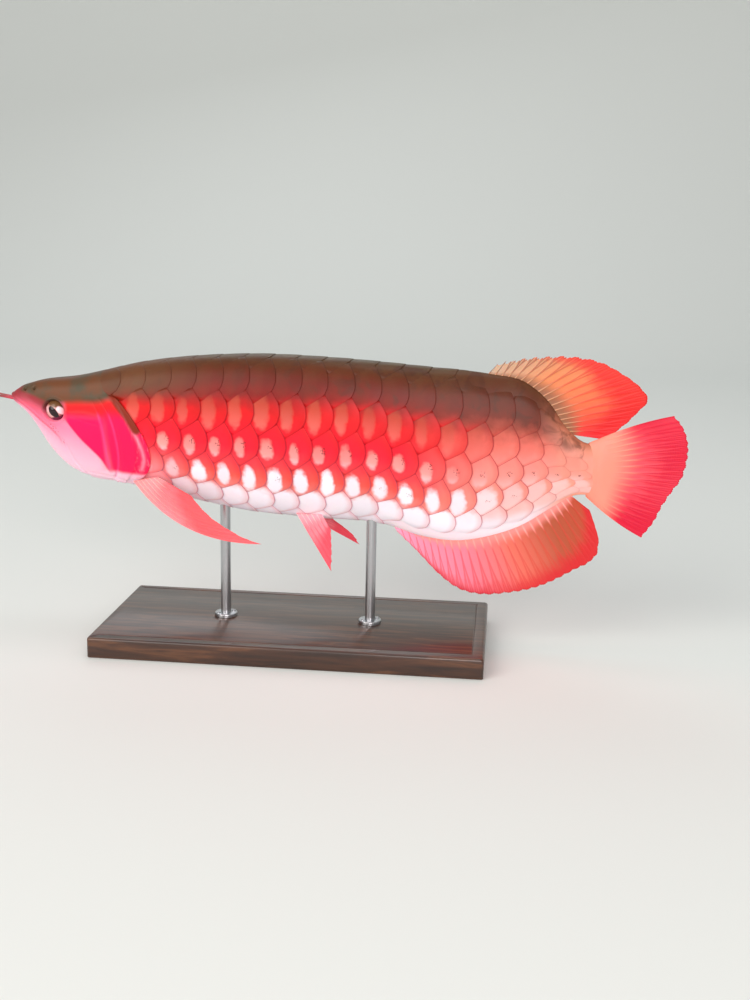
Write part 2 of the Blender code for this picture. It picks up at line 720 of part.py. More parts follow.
def barbels():
    root = -0.2 - LIP_RADIUS - GAP
    for side, mirror in (("right", 1), ("left", -1)):
        path = [(root, 2.0, -1.6), (-9, 3.4, -0.6), (-19, 5.0, 1.4), (-BARBEL_REACH, 6.4, 2.0)]
        route = smooth_line([(x, mirror * y, z) for x, y, z in path], 4)
        radii = np.linspace(*BARBEL_RADII, len(route))
        finish_node(tube(f"barbel_{side}", route, radii, sides=6), (0.5, 0.12, 0.12), 0.5)


def stand():
    length, width, height = BASE_SIZE
    middle = sum(ROD_PLACES.values()) / 2
    edge = 3.0
    base = prism(
        "stand_base",
        [
            (middle - length / 2, -FLOOR_TO_JAW),
            (middle + length / 2, -FLOOR_TO_JAW),
            (middle + length / 2, height - FLOOR_TO_JAW),
            (middle - length / 2, height - FLOOR_TO_JAW),
        ],
        -width / 2,
        width / 2,
    )
    work = bmesh.new()
    work.from_mesh(base.data)
    top = height * MM
    rim = [e for e in work.edges if all(abs(v.co.z - top) < 1e-6 for v in e.verts)]
    upright = [e for e in work.edges if abs(e.verts[0].co.z - e.verts[1].co.z) > 1e-3]
    bmesh.ops.bevel(work, geom=rim + upright, offset=edge * MM, segments=3, affect="EDGES")
    work.to_mesh(base.data)
    work.free()
    for name, x in ROD_PLACES.items():
        hole = ((ROD_RADIUS + GAP, height - TENON - GAP), (ROD_RADIUS + GAP, height + 10))
        boolean(base, turned("hole", x, hole), "DIFFERENCE")
        rod = (
            (ROD_RADIUS, height - TENON),
            (ROD_RADIUS, height + GAP),
            (FLANGE_RADIUS, height + GAP),
            (FLANGE_RADIUS, height + GAP + FLANGE_HEIGHT - 1),
            (FLANGE_RADIUS - 1, height + GAP + FLANGE_HEIGHT),
            (ROD_RADIUS, height + GAP + FLANGE_HEIGHT),
            (ROD_RADIUS, rod_top(x)),
        )
        finish_node(turned(name, x, rod), (0.6, 0.6, 0.62), 0.25, 1.0)
    finish_node(base, (0.05, 0.025, 0.015), 0.4)


def main():
    for piece in list(bpy.data.objects):
        bpy.data.objects.remove(piece)
    head_nodes()
    body_nodes()
    median_fins()
    paired_fins()
    eyes()
    barbels()
    stand()


main()
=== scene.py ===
# A life-size museum model of a super-red Asian arowana on its display stand.
# Lengths are fish millimetres unless a note says otherwise: x back from the jaw tip,
# y to the fish's right, z up from the jaw tip. place() turns them into the frame's metres.
import math
from functools import partial

import bmesh
import bpy
import numpy as np
from mathutils import Matrix, Vector


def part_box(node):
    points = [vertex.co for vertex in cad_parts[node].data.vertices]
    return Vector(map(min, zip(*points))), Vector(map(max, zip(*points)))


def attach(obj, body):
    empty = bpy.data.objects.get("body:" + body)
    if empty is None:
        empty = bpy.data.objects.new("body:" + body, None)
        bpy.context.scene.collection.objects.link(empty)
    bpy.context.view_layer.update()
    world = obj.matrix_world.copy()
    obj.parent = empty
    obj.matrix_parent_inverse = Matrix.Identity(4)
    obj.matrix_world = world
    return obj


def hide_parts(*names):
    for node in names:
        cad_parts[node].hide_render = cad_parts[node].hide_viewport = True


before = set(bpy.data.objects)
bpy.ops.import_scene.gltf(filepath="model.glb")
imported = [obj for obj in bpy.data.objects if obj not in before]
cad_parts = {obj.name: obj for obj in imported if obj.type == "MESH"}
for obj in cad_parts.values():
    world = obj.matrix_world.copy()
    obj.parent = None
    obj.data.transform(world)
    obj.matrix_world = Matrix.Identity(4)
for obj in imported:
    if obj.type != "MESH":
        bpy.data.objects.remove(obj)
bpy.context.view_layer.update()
print("frame loaded")

fish = {
    "middleX": 245.5,  # from the jaw tip to the middle of the model
    "jawHeight": 188.0,  # of the jaw tip over the floor
    "tailEnd": 456.0,  # where the body stops inside the tail fin
    "bodyLength": 460.0,  # the paint reads places along the fish as shares of this
    "skinDepth": -0.4,  # the skin under the scales, off the solids' mean surface
    "back": ((0, 1.5), (6, 7), (16, 11), (54, 17.5), (106, 30), (182, 38), (257, 37), (326, 32.5),
             (372, 29), (400, 23), (417, 9), (430, -9), (442, -19.5), (460, -21)),
    "keel": ((0, -2.5), (9, -10), (19, -23), (28, -38), (41, -52.5), (56, -61), (90, -66.5),
             (124, -73), (182, -84), (240, -88), (291, -90.5), (325, -100), (347, -102.5),
             (375, -98), (402, -87), (422, -73), (438, -62.5), (460, -63)),
    "widest": ((0, -0.5), (20, -3), (60, -10), (106, -14), (220, -18), (326, -24), (400, -34),
               (460, -42)),
    "half": ((0, 3.5), (3, 7), (8, 10), (18, 13), (35, 16.5), (60, 20.5), (90, 24), (140, 27),
             (200, 27.5), (260, 25.5), (326, 20.5), (372, 15.5), (410, 10.5), (440, 6.5), (460, 4)),
    "above": ((0, 2.2), (40, 3.0), (110, 2.7), (300, 2.5), (400, 1.9), (460, 2.0)),
    "below": ((0, 2.0), (40, 1.9), (110, 1.7), (300, 1.6), (400, 1.7), (460, 2.0)),
}


def place(points):
    return (np.asarray(points, float) + (-fish["middleX"], 0, fish["jawHeight"])) * 0.001


def curveThrough(knots):  # a smooth curve through knots of a place and its values
    at = np.array([knot[0] for knot in knots], float)
    value = np.array([knot[1:] for knot in knots], float)
    span = np.diff(at)[:, None]
    secant = np.diff(value, axis=0) / span
    inner = (secant[:-1] * span[1:] + secant[1:] * span[:-1]) / (span[1:] + span[:-1])
    slope = np.vstack([secant[:1], inner, secant[-1:]])

    def curve(t):
        t = np.clip(np.asarray(t, float), at[0], at[-1])
        i = np.clip(np.searchsorted(at, t, side="right") - 1, 0, len(at) - 2)
        width = span[i]
        w = (t[..., None] - at[i][..., None]) / width
        bent = (
            (1 + 2 * w) * (1 - w) ** 2 * value[i]
            + w * (1 - w) ** 2 * width * slope[i]
            + w * w * (3 - 2 * w) * value[i + 1]
            - w * w * (1 - w) * width * slope[i + 1]
        )
        return bent if value.shape[1] > 1 else bent[..., 0]

    return curve


def cornered(knots, at, soft):  # straight from knot to knot, a little rounded at each
    knot = np.array(knots, float)
    soft = np.minimum(soft, 1 - np.abs(at))

    def straight(t):
        return np.stack([np.interp(t, knot[:, 0], knot[:, i]) for i in range(1, knot.shape[1])], -1)

    return (straight(at - soft) + 2 * straight(at) + straight(at + soft)) / 4


def ease(value, low, high):  # 0 below low, 1 above high, smooth between
    t = np.clip((np.asarray(value, float) - low) / (high - low), 0, 1)
    return t * t * (3 - 2 * t)


# The body is one table of cross-sections, read at any x and any share of the way round:
# 0 is the back, 1 the keel, and beyond them the shares go on up the other flank.
noseTip, noseRound = -1.5, 3.5
stations = noseTip + (fish["tailEnd"] + 6 - noseTip) * np.linspace(0, 1, 640) ** 1.5
shares = np.linspace(0, 1, 161)


def sectionTable():
    turn = np.linspace(0, math.pi, 181)
    cosine, sine = np.cos(turn), np.abs(np.sin(turn))
    lines = {name: curveThrough(fish[name]) for name in ("back", "keel", "widest", "half", "above", "below")}
    table = np.zeros((len(stations), len(shares), 3))
    for i, x in enumerate(stations):
        at = {name: float(curve(max(x, 0))) for name, curve in lines.items()}
        power = 2 / np.where(cosine >= 0, at["above"], at["below"])
        height = np.where(cosine >= 0, at["back"] - at["widest"], at["widest"] - at["keel"])
        y = at["half"] * sine**power
        z = at["widest"] + np.sign(cosine) * height * np.abs(cosine) ** power
        if x < noseTip + noseRound:  # the front closes in a round tip
            shrink = math.sqrt(max(0, 1 - ((noseTip + noseRound - x) / noseRound) ** 2))
            y, z = y * shrink, at["widest"] + (z - at["widest"]) * shrink
        run = np.concatenate([[0], np.cumsum(np.hypot(np.diff(y), np.diff(z)))])
        run = run / max(run[-1], 1e-9)
        table[i, :, 0] = x
        table[i, :, 1], table[i, :, 2] = np.interp(shares, run, y), np.interp(shares, run, z)
    return table


body = sectionTable()


def unit(vectors):
    return vectors / np.maximum(np.linalg.norm(vectors, axis=-1, keepdims=True), 1e-9)


def folded(value, end):  # what lies before 0 or past the end is mirrored back
    return np.where(value < 0, -value, np.where(value > end, 2 * end - value, value))


def bodyAt(x, share):
    x, share = np.broadcast_arrays(np.asarray(x, float), np.asarray(share, float))
    side = np.where((share < 0) | (share > 1), -1.0, 1.0)
    i = np.interp(x, stations, np.arange(len(stations)))
    j = np.clip(folded(share, 1), 0, 1) * (len(shares) - 1)
    i0 = np.minimum(i.astype(int), len(stations) - 2)
    j0 = np.minimum(j.astype(int), len(shares) - 2)
    wi, wj = (i - i0)[..., None], (j - j0)[..., None]
    spot = (body[i0, j0] * (1 - wi) + body[i0 + 1, j0] * wi) * (1 - wj)
    spot = spot + (body[i0, j0 + 1] * (1 - wi) + body[i0 + 1, j0 + 1] * wi) * wj
    spot[..., 1] *= side
    return spot


def outwardAt(x, share):
    x, share = np.asarray(x, float), np.asarray(share, float)
    along = bodyAt(x + 0.9, share) - bodyAt(np.maximum(x - 0.9, noseTip + 0.05), share)
    around = bodyAt(x, share + 0.012) - bodyAt(x, share - 0.012)
    return unit(np.cross(along, around))


def shareAt(x, z):  # the share at which the cross-section at x has the height z
    return np.interp(-z, -bodyAt(x, shares)[:, 2], shares)


def mark(mesh, numbers, kind="FLOAT", field="value"):  # attributes, with one entry a point
    for title, values in numbers.items():
        layer = mesh.attributes.new(title, kind, "POINT")
        layer.data.foreach_set(field, np.ravel(values).astype(np.float32))


def meshPiece(name, points, faces, numbers):  # points in fish millimetres
    mesh = bpy.data.meshes.new(name)
    mesh.from_pydata(place(np.reshape(points, (-1, 3))).tolist(), [], faces)
    mark(mesh, numbers)
    mesh.shade_smooth()
    piece = bpy.data.objects.new(name, mesh)
    bpy.context.scene.collection.objects.link(piece)
    return piece


def closeAndTurn(piece):  # fills open ends and turns every face outward
    work = bmesh.new()
    work.from_mesh(piece.data)
    bmesh.ops.holes_fill(work, edges=[edge for edge in work.edges if edge.is_boundary], sides=0)
    bmesh.ops.recalc_face_normals(work, faces=work.faces)
    work.to_mesh(piece.data)
    work.free()


def bakeMap(piece, spots):  # spots holds a UV place for each corner of each face
    layer = piece.data.uv_layers.new(name="OFBake")
    layer.data.foreach_set("uv", np.ravel(spots).astype(np.float32))


def dress(piece, material, slot, *nodes):
    piece.data.materials.clear()
    piece.data.materials.append(material)
    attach(piece, "root")
    if nodes:
        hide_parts(*nodes)


def linear(hexColour):
    parts = [int(hexColour[i : i + 2], 16) / 255 for i in (1, 3, 5)]
    return (*[c / 12.92 if c <= 0.04045 else ((c + 0.055) / 1.055) ** 2.4 for c in parts], 1)


# For each name: the node, its inputs in the order that values are given, its output and its settings
nodeKinds = {
    "object": ("TexCoord", (), "Object", {}),
    "read": ("Attribute", (), "Fac", {}),
    "readVector": ("Attribute", (), "Vector", {}),
    "split": ("SeparateXYZ", (0,), None, {}),
    "grey": ("CombineColor", (0, 1, 2), 0, {}),
    "stretch": ("Mapping", ("Vector", "Scale"), 0, {}),
    "noise": ("TexNoise", ("Vector", "Scale", "Detail", "Distortion"), "Fac", {}),
    "cells": ("TexVoronoi", ("Vector", "Scale"), "Distance", {}),
    "ramp": ("ValToRGB", (0,), 0, {}),
    "range": ("MapRange", (0, 1, 2, 3, 4), 0, {}),
    "smooth": ("MapRange", (0, 1, 2, 3, 4), 0, {"interpolation_type": "SMOOTHSTEP"}),
    "plus": ("Math", (0, 1), 0, {"operation": "ADD"}),
    "minus": ("Math", (0, 1), 0, {"operation": "SUBTRACT"}),
    "times": ("Math", (0, 1), 0, {"operation": "MULTIPLY"}),
    "over": ("Math", (0, 1), 0, {"operation": "DIVIDE"}),
    "timesPlus": ("Math", (0, 1, 2), 0, {"operation": "MULTIPLY_ADD"}),
    "sine": ("Math", (0,), 0, {"operation": "SINE"}),
    "mix": ("Mix", (0, 6, 7), 2, {"data_type": "RGBA"}),
    "darken": ("Mix", (0, 6, 7), 2, {"data_type": "RGBA", "blend_type": "MULTIPLY"}),
    "bump": ("Bump", ("Strength", "Distance", "Height"), 0, {}),
}


def given(value):  # a hex colour as linear values, and anything else as it is
    return linear(value) if isinstance(value, str) else value


def addNode(tree, kind, *values):
    # values are sockets, numbers or hex colours; a ramp takes its stops second, and read an attribute's name
    nodeType, sockets, output, settings = nodeKinds[kind]
    node = tree.nodes.new("ShaderNode" + nodeType)
    for name, value in settings.items():
        setattr(node, name, value)
    if nodeType == "Attribute":
        node.attribute_name = values[0]
    if nodeType == "ValToRGB":
        elements = node.color_ramp.elements
        while len(elements) < len(values[1]):
            elements.new(0.5)
        for element, (position, colour) in zip(elements, values[1]):
            element.position = position
            element.color = linear(colour) if isinstance(colour, str) else (colour, colour, colour, 1)
    for socket, value in zip(sockets, values):
        if isinstance(value, bpy.types.NodeSocket):
            tree.links.new(value, node.inputs[socket])
        else:
            node.inputs[socket].default_value = given(value)
    return node.outputs if output is None else node.outputs[output]


def newMaterial(name, **shaderValues):
    material = bpy.data.materials.new(name)
    material.use_nodes = True
    shader = material.node_tree.nodes["Principled BSDF"]
    for socket, value in shaderValues.items():
        shader.inputs[socket.replace("_", " ")].default_value = given(value)
    return material, partial(addNode, material.node_tree)


def feed(material, **sources):  # links each named socket of the shader
    tree = material.node_tree
    for socket, source in sources.items():
        tree.links.new(source, tree.nodes["Principled BSDF"].inputs[socket.replace("_", " ")])
    return material


# Lines of the head, and the cheek's outline, in side view, as (x, z)
headLines = {
    "gill": ((66, 60), (72, 26), (80, 8), (90, 3), (99, -7), (107, -19), (113, -31), (114.5, -43),
             (111, -53), (103, -61), (92, -70), (84, -90)),
    "mouth": ((-4, 1.2), (0, -0.6), (5, -2.5), (15, -8.5), (25, -16), (34, -22.5), (40, -29), (43, -34)),
    "jawRear": ((46, -35), (51, -48), (59, -61), (64, -72)),
    "cheekEdge": ((45, -13), (53, -23), (59, -30), (67, -38), (74, -46), (79, -57)),
    "cheekSplit": ((47, -11), (60, -14), (76, -18)),
    "preopercleFront": ((70, 1), (75, -10), (78, -25), (79, -40), (80, -52)),
    "preopercleRear": ((77, 2), (83, -8), (87, -22), (88.5, -38), (87, -50), (83, -60)),
    "opercleRear": ((87, 5), (96, -9), (102, -24), (104, -38), (102, -50), (95, -59)),
    "bar": ((85.5, 10), (92.5, -0.5), (99.5, -9), (105.5, -19)),
    "gillStripe": ((99, -12), (104, -22), (108.5, -33), (110, -43), (107, -51)),
    "crown": ((-5, 1.5), (4, 3.5), (12, 4), (22, 1.5), (30, -1.5), (44, -2.0), (60, -1), (76, 0),
              (90, 4), (130, 12)),
    "pores": ((35, -19.5), (39, -23.5), (42, -28.5), (44, -33)),
    "throatFoldLow": ((52, -60), (72, -63), (90, -66)),
    "throatFoldHigh": ((60, -57.5), (78, -60), (95, -63.5)),
    "cheek": ((50, -9), (62, -8), (75, -10), (78, -25), (79.5, -42), (81, -58), (72, -47), (58, -31),
              (50, -19)),
}
grooves = {  # depth and width
    "jawRear": (0.7, 0.8), "cheekEdge": (0.4, 0.8), "cheekSplit": (0.25, 0.7),
    "preopercleFront": (0.5, 0.6), "preopercleRear": (0.7, 0.7),
    "throatFoldLow": (0.35, 0.6), "throatFoldHigh": (0.35, 0.6),
}
eyeForm = {"centre": (38.0, 12.2, -8.5), "radii": (8.2, 6.4, 8.2), "bulge": 0.05, "tilt": 0.2, "rim": 8.7}
nostrils = ((13.0, 0.27), (21.0, 0.25))  # x and share


def lineDistance(x, z, line):  # distance to a side-view line, and which side: above is positive
    steps = np.linspace(0, len(line) - 1, 6 * len(line))
    bent = curveThrough([(i, *point) for i, point in enumerate(line)])(steps)
    best, signed = np.full(np.shape(x), 1e9), np.zeros(np.shape(x))
    for (ax, az), (bx, bz) in zip(bent, bent[1:]):
        dx, dz = bx - ax, bz - az
        t = np.clip(((x - ax) * dx + (z - az) * dz) / (dx * dx + dz * dz), 0, 1)
        gap = np.hypot(x - ax - t * dx, z - az - t * dz)
        closer = gap < best
        best = np.where(closer, gap, best)
        signed = np.where(closer, np.sign((z - az) * dx - (x - ax) * dz), signed)
    return best, best * signed


def inside(x, z, outline, soft):  # 1 well inside a side-view region, 0 well outside
    ring = np.array(outline, float)
    within = np.zeros(np.shape(x), bool)
    best = np.full(np.shape(x), 1e9)
    for (ax, az), (bx, bz) in zip(ring, np.roll(ring, -1, axis=0)):
        crosses = (az > z) != (bz > z)
        within ^= crosses & (x < (bx - ax) * (z - az) / (bz - az + 1e-12) + ax)
        dx, dz = bx - ax, bz - az
        t = np.clip(((x - ax) * dx + (z - az) * dz) / (dx * dx + dz * dz), 0, 1)
        best = np.minimum(best, np.hypot(x - ax - t * dx, z - az - t * dz))
    return ease(np.where(within, best, -best), -soft, soft)


def hill(distance, width):
    return np.exp(-((distance / width) ** 2))


def gillEdge():  # the x of the gill cover's rear edge for each share
    line = headLines["gill"]
    bent = curveThrough([(i, *point) for i, point in enumerate(line)])(np.linspace(0, len(line) - 1, 200))
    found = []
    for x, z in bent:
        keel, back = bodyAt(x, (1.0, 0.0))[:, 2]
        if keel < z < back:
            found.append((shareAt(x, z), x))
    return np.array(sorted(found)).T


gillShares, gillXs = gillEdge()


def headRelief(x, z, share, gillX):
    # how far the head's forms stand off the mean surface
    gap, above = lineDistance(x, z, headLines["mouth"])
    relief = -2.0 * hill(gap, 0.55) * ease(-x, -43, -37)
    relief += (0.9 * hill(above - 1.8, 1.2) + 0.75 * hill(above + 1.7, 1.1)) * ease(-x, -44, -34)  # lips
    relief += 0.7 * ease(above, 0.2, 1.0) * ease(-above, -9, -4) * ease(-x, -46, -38)  # upper jaw bone
    relief += 0.5 * inside(x, z, headLines["cheek"], 1.6)
    for name, (depth, width) in grooves.items():
        relief -= depth * hill(lineDistance(x, z, headLines[name])[0], width)
    plate = lineDistance(x, z, headLines["opercleRear"])[1]
    front = lineDistance(x, z, headLines["preopercleRear"])[1]
    swell = ease(front, 0, 5) * ease(-plate, -1, 1)  # the bony gill cover before its soft rim
    relief += 0.9 * swell * ease(-z, -8, 0)
    eye = np.hypot(x - eyeForm["centre"][0], z - eyeForm["centre"][2]) - eyeForm["rim"]
    flankwise = ease(share, 0.12, 0.2)
    relief += (0.9 * hill(eye - 0.6, 1.1) - 4.0 * ease(-eye, 0, 0.9)) * flankwise  # the eye's rim and socket
    for at, where in nostrils:
        spot = bodyAt(at, where)
        gap = np.hypot(x - spot[0], z - spot[2]) + 6 * np.maximum(0, 0.08 - share)
        relief += 0.55 * hill(gap - 1.7, 0.6) - 2.2 * hill(gap, 1.0)
    # a shallow line between the skull's halves, and one down the middle of the throat
    relief -= 0.45 * hill(share * 90, 2.5) * ease(x, 14, 24) * ease(-x, -66, -50)
    relief -= 0.6 * hill((1 - share) * 90, 1.6) * ease(x, 8, 16)
    relief += 1.9 * gillOpening(share) * ease(x, gillX - 24, gillX - 2)
    return relief * ease(x, noseTip, noseTip + 2)


def gillOpening(share):  # none across the nape, full down the flank, less under the throat
    top = shareAt(84, 6)
    return ease(share, top - 0.03, top + 0.05) * (1 - 0.75 * ease(share, 0.8, 0.95))


def headMasks(x, z):
    def gap(name):
        return lineDistance(x, z, headLines[name])[0]

    def over(name):
        return lineDistance(x, z, headLines[name])[1]

    overCrown, overMouth = over("crown"), over("mouth")
    soften = 2.5 * ease(x, 42, 52)
    cheekward = ease(over("cheekEdge"), -0.8, 1.2) * ease(x, 44, 50)  # all behind the cheek's front edge
    eye = np.hypot(x - eyeForm["centre"][0], z - eyeForm["centre"][2])
    masks = {
        "crown": ease(overCrown, -1.5 - soften, 2.0 + 0.6 * soften) * ease(x, 5, 12),
        "cheek": cheekward * ease(-z, 7, 15) * ease(-x, -84, -76) * ease(z, -59, -52),
        "opercle": ease(x, 76, 84) * ease(-z, 3, 14) * ease(z, -57.5, -53),
        "membrane": ease(over("opercleRear"), -2, 2) * ease(x, 84, 90) * ease(-z, 2, 8) * ease(z, -58, -52),
        "stripe": ease(-z, 6, 12) * np.maximum(hill(gap("preopercleFront"), 1.1),
                                               hill(gap("preopercleRear"), 0.9)),
        "bar": ease(hill(gap("bar"), 4.6), 0.2, 0.8),
        "gillStripe": hill(gap("gillStripe"), 1.5) * ease(-z, 14, 24),
        "temple": ease(x, 42, 50) * ease(-overCrown, -7, -4) * ease(z, -20, -9),
        "snout": ease(-x, -42, -30) * ease(overCrown, -12, -1),  # brown red under the crown, before the eye
        "upperLip": ease(-x, -50, -20) * ease(overMouth, -1.5, 1.0),
        "lipLine": hill(overMouth, 0.8) * ease(-x, -44, -38),
        # painted shade: a dark ring round the upper rim of the eye socket
        "eyeShade": hill(eye - eyeForm["rim"], 1.6) * ease(z, -14, -4),
        "pores": hill(gap("pores"), 1.3),
        "head": np.maximum(ease(-x, -86, -70), ease(-x, -124, -112) * ease(-z, 50, 56)),
    }
    onHead = ease(-x, -132, -118)  # hidden by the scales from there on
    return {name: mask * onHead for name, mask in masks.items()}


skinPlan = {
    "columns": 256,
    "headRings": 190,
    "headCrowding": 1.35,  # close rings over the snout and the eye
    "trunkRings": 120,
    "trunkStart": 3.0,  # behind the gill cover's edge
    # the fold of the gill opening, ring by ring: x off the edge, and lift
    "gillFold": ((0.35, 1.75), (0.6, 1.35), (0.45, 0.95), (-0.4, 0.6), (-4.0, 0.35), (-6.0, -0.2),
                 (-5.0, -0.9), (0.5, -0.9)),
}


def skinRings():
    around = np.arange(skinPlan["columns"]) * 2 / skinPlan["columns"]  # 0 to 2 round the body
    share = folded(around, 1)
    gillX = np.interp(share, gillShares, gillXs)
    opening = gillOpening(share)
    rings = []  # x and lift of each
    for t in np.linspace(0, 1, skinPlan["headRings"]) ** skinPlan["headCrowding"]:
        x = noseTip + 0.02 + (gillX - noseTip) * t
        rings.append((x, headRelief(x, bodyAt(x, around)[:, 2], share, gillX)))
    for k, (behind, lift) in enumerate(skinPlan["gillFold"], 1):
        flat = fish["skinDepth"] * k / len(skinPlan["gillFold"])
        x = gillX + opening * behind + (1 - opening) * 0.35 * k
        rings.append((x, opening * lift + (1 - opening) * flat))
    start = gillX + skinPlan["trunkStart"]
    for t in np.linspace(0, 1, skinPlan["trunkRings"]):
        rings.append((start * (1 - t) + fish["tailEnd"] * t, np.full(len(share), fish["skinDepth"])))
    x, lift = (np.array(values) for values in zip(*rings))
    spot = bodyAt(x, around)
    return spot + outwardAt(x, around) * lift[..., None], x, spot[..., 2], np.broadcast_to(share, x.shape)


def buildSkin():
    points, x, z, share = skinRings()
    count, columns = x.shape
    grid = np.arange(count * columns).reshape(count, columns)
    beside = np.roll(grid, -1, 1)
    quads = np.stack([grid[:-1], beside[:-1], beside[1:], grid[1:]], -1).reshape(-1, 4)
    numbers = {**headMasks(x, z), "around": share, "along": x / fish["bodyLength"]}
    skin = meshPiece("fish_skin", points, quads.tolist(), numbers)
    i, j = np.meshgrid(np.arange(count - 1), np.arange(columns), indexing="ij")
    corners = [(i, j), (i, j + 1), (i + 1, j + 1), (i + 1, j)]
    bakeMap(skin, np.stack([np.stack([a / count, b / columns], -1) for a, b in corners], 2))
    closeAndTurn(skin)
    return skin


# Scales on the lattice of the solids: columns along the fish, rows from the back (0) to the keel (6)
scalePlan = {
    "start": 75.8,
    "column": 20.0,
    "crowding": 0.5,
    "crowdingFrom": 14.7,
    "rowShift": 0.22,
    "rowsMidbody": (0, 0.215, 0.385, 0.555, 0.735, 0.87, 1),
    "rowsTail": (0, 0.245, 0.455, 0.61, 0.74, 0.87, 1),
    "rowsChange": (330.0, 410.0),
    "rise": 0.95,  # from one scale's front to its hind edge
    "rowRise": (0.35, 0.6, 0.9, 1, 1, 0.8, 0.45),  # share of the rise, from the back to the keel
    "thickness": 0.3,
    "along": 13,  # grid lines of each plate
    "across": 17,
    "crowdLines": 0.8,
    "lastLine": 0.975,  # the last but one lies close to the edge
    "cornerSoft": 0.14,
    "seat": 0.15,  # of its middle over the skin
    "droop": (1.2, 0.5),  # of its upper and its lower side
    "swell": 0.28,
    "lip": 0.16,  # the free edge bends down by this
    # rows stop short of the dorsal and the anal fin, the throat and the gill cover's edge
    "dorsalAt": 362.0,
    "analAt": 296.0,
    "throatEnd": 112.0,
    "gillGap": 4.0,
    "finSink": 1.4,  # edges beside the fins sink in the skin
    "flatten": (60.0, 0.22),  # relief falls to this share over the body's last stretch
    "nape": (140.0, 220.0, 0.5),  # where and how much the relief of the upper rows is less
    "seed": 11,
    "vary": {"size": 0.012, "lean": 0.07, "along": 0.012, "around": 0.01, "lift": 0.05, "patchLong": 0.09,
             "patchHigh": 0.07, "patchU": 0.02, "patchV": 0.03},
    # the free hind edge through its corners, top to bottom, as (share across, columns, rows)
    "margin": ((-1, 0.24, -0.74), (-0.5, 0.57, -0.31), (0, 0.62, 0), (0.5, 0.5, 0.31), (1, -0.26, 0.74)),
    "front": ((-1, -0.42, -0.5), (-0.5, -0.66, -0.28), (0, -0.72, 0), (0.5, -0.78, 0.26), (1, -0.72, 0.5)),
    # pale patch of each row: its middle, half-sizes and strength
    "patch": ((0, 0, 0.3, 0.4, 0), (-0.12, 0.0, 0.26, 0.5, 0.12), (-0.13, -0.04, 0.25, 0.52, 0.85),
              (-0.15, 0.12, 0.22, 0.29, 0.9), (-0.1, 0.1, 0.27, 0.46, 1), (0.02, 0.02, 0.62, 0.62, 0.95),
              (0, 0, 0.7, 0.7, 0.6)),
    "patchTail": (330.0, 400.0, 0.72, 0.7),  # there they fade and spread by these shares
    "patchFront": (118.0, 152.0, 0.85),  # and here those of the lower rows fade
}


def rowShare(row, x):
    first, last = scalePlan["rowsChange"]
    change = np.clip((x - first) / (last - first), 0, 1)
    near = folded(row, 6)
    whole = np.minimum(near.astype(int), 5)
    middle, tail = (np.array(scalePlan[name]) for name in ("rowsMidbody", "rowsTail"))
    low = middle[whole] * (1 - change) + tail[whole] * change
    high = middle[whole + 1] * (1 - change) + tail[whole + 1] * change
    share = low + (high - low) * (near - whole)
    return np.where(row < 0, -share, np.where(row > 6, 2 - share, share))


def latticeX(column):
    return (scalePlan["start"] + scalePlan["column"] * column
            - scalePlan["crowding"] * np.maximum(0, column - scalePlan["crowdingFrom"]) ** 2)


def plateGrid(kind):
    # one scale in lattice steps from its middle; a ridge or keel scale mirrors half of a flank one
    out = np.linspace(0, 1, scalePlan["along"]) ** scalePlan["crowdLines"]
    out[-2] = scalePlan["lastLine"]
    across = np.linspace(-1, 1, scalePlan["across"])
    half = {"flank": across, "ridge": np.abs(across), "keel": -np.abs(across)}[kind]
    margin, front = (cornered(scalePlan[name], half, scalePlan["cornerSoft"]) for name in ("margin", "front"))
    plate = front[None] + (margin - front)[None] * out[:, None, None]
    u, v = plate[..., 0], plate[..., 1]
    height = scalePlan["seat"] + scalePlan["rise"] * (u + 0.4) - np.where(v < 0, *scalePlan["droop"]) * v * v
    height += scalePlan["swell"] * np.sin(np.clip(u + 0.4, 0, 1) * math.pi)
    height -= scalePlan["lip"] * ease(out, 0.93, 1)[:, None]
    if kind != "flank":
        v = np.abs(v) * np.sign(across)[None]
    return u, v, height, np.broadcast_to(out[:, None], u.shape)


def scaleSites():
    for row in range(7):
        for step in range(-2, 24):
            column = step + scalePlan["rowShift"] * row
            x, hind = latticeX(column), latticeX(column + 0.6)
            share = rowShare(np.array(float(row)), x)
            behindGill = hind > np.interp(share, gillShares, gillXs) + scalePlan["gillGap"]
            underFin = (row == 0 and x > scalePlan["dorsalAt"]) or (row == 6 and x > scalePlan["analAt"])
            throat = row >= 5 and x < scalePlan["throatEnd"]
            if behindGill and not underFin and not throat and hind < fish["tailEnd"] + 2:
                yield row, column


def sheetFaces(rows, columns):
    # quads of a closed sheet: its top, its underside and the rim between them
    top = np.arange(rows * columns).reshape(rows, columns)
    under = top + rows * columns
    rim = np.concatenate([top[0], top[1:, -1], top[-1, -2::-1], top[-2:0:-1, 0]])
    low = rim + rows * columns
    quads = [(top[:-1, :-1], top[:-1, 1:], top[1:, 1:], top[1:, :-1]),
             (under[:-1, :-1], under[1:, :-1], under[1:, 1:], under[:-1, 1:]),
             (rim, low, np.roll(low, -1), np.roll(rim, -1))]
    return np.concatenate([np.stack(corners, -1).reshape(-1, 4) for corners in quads])


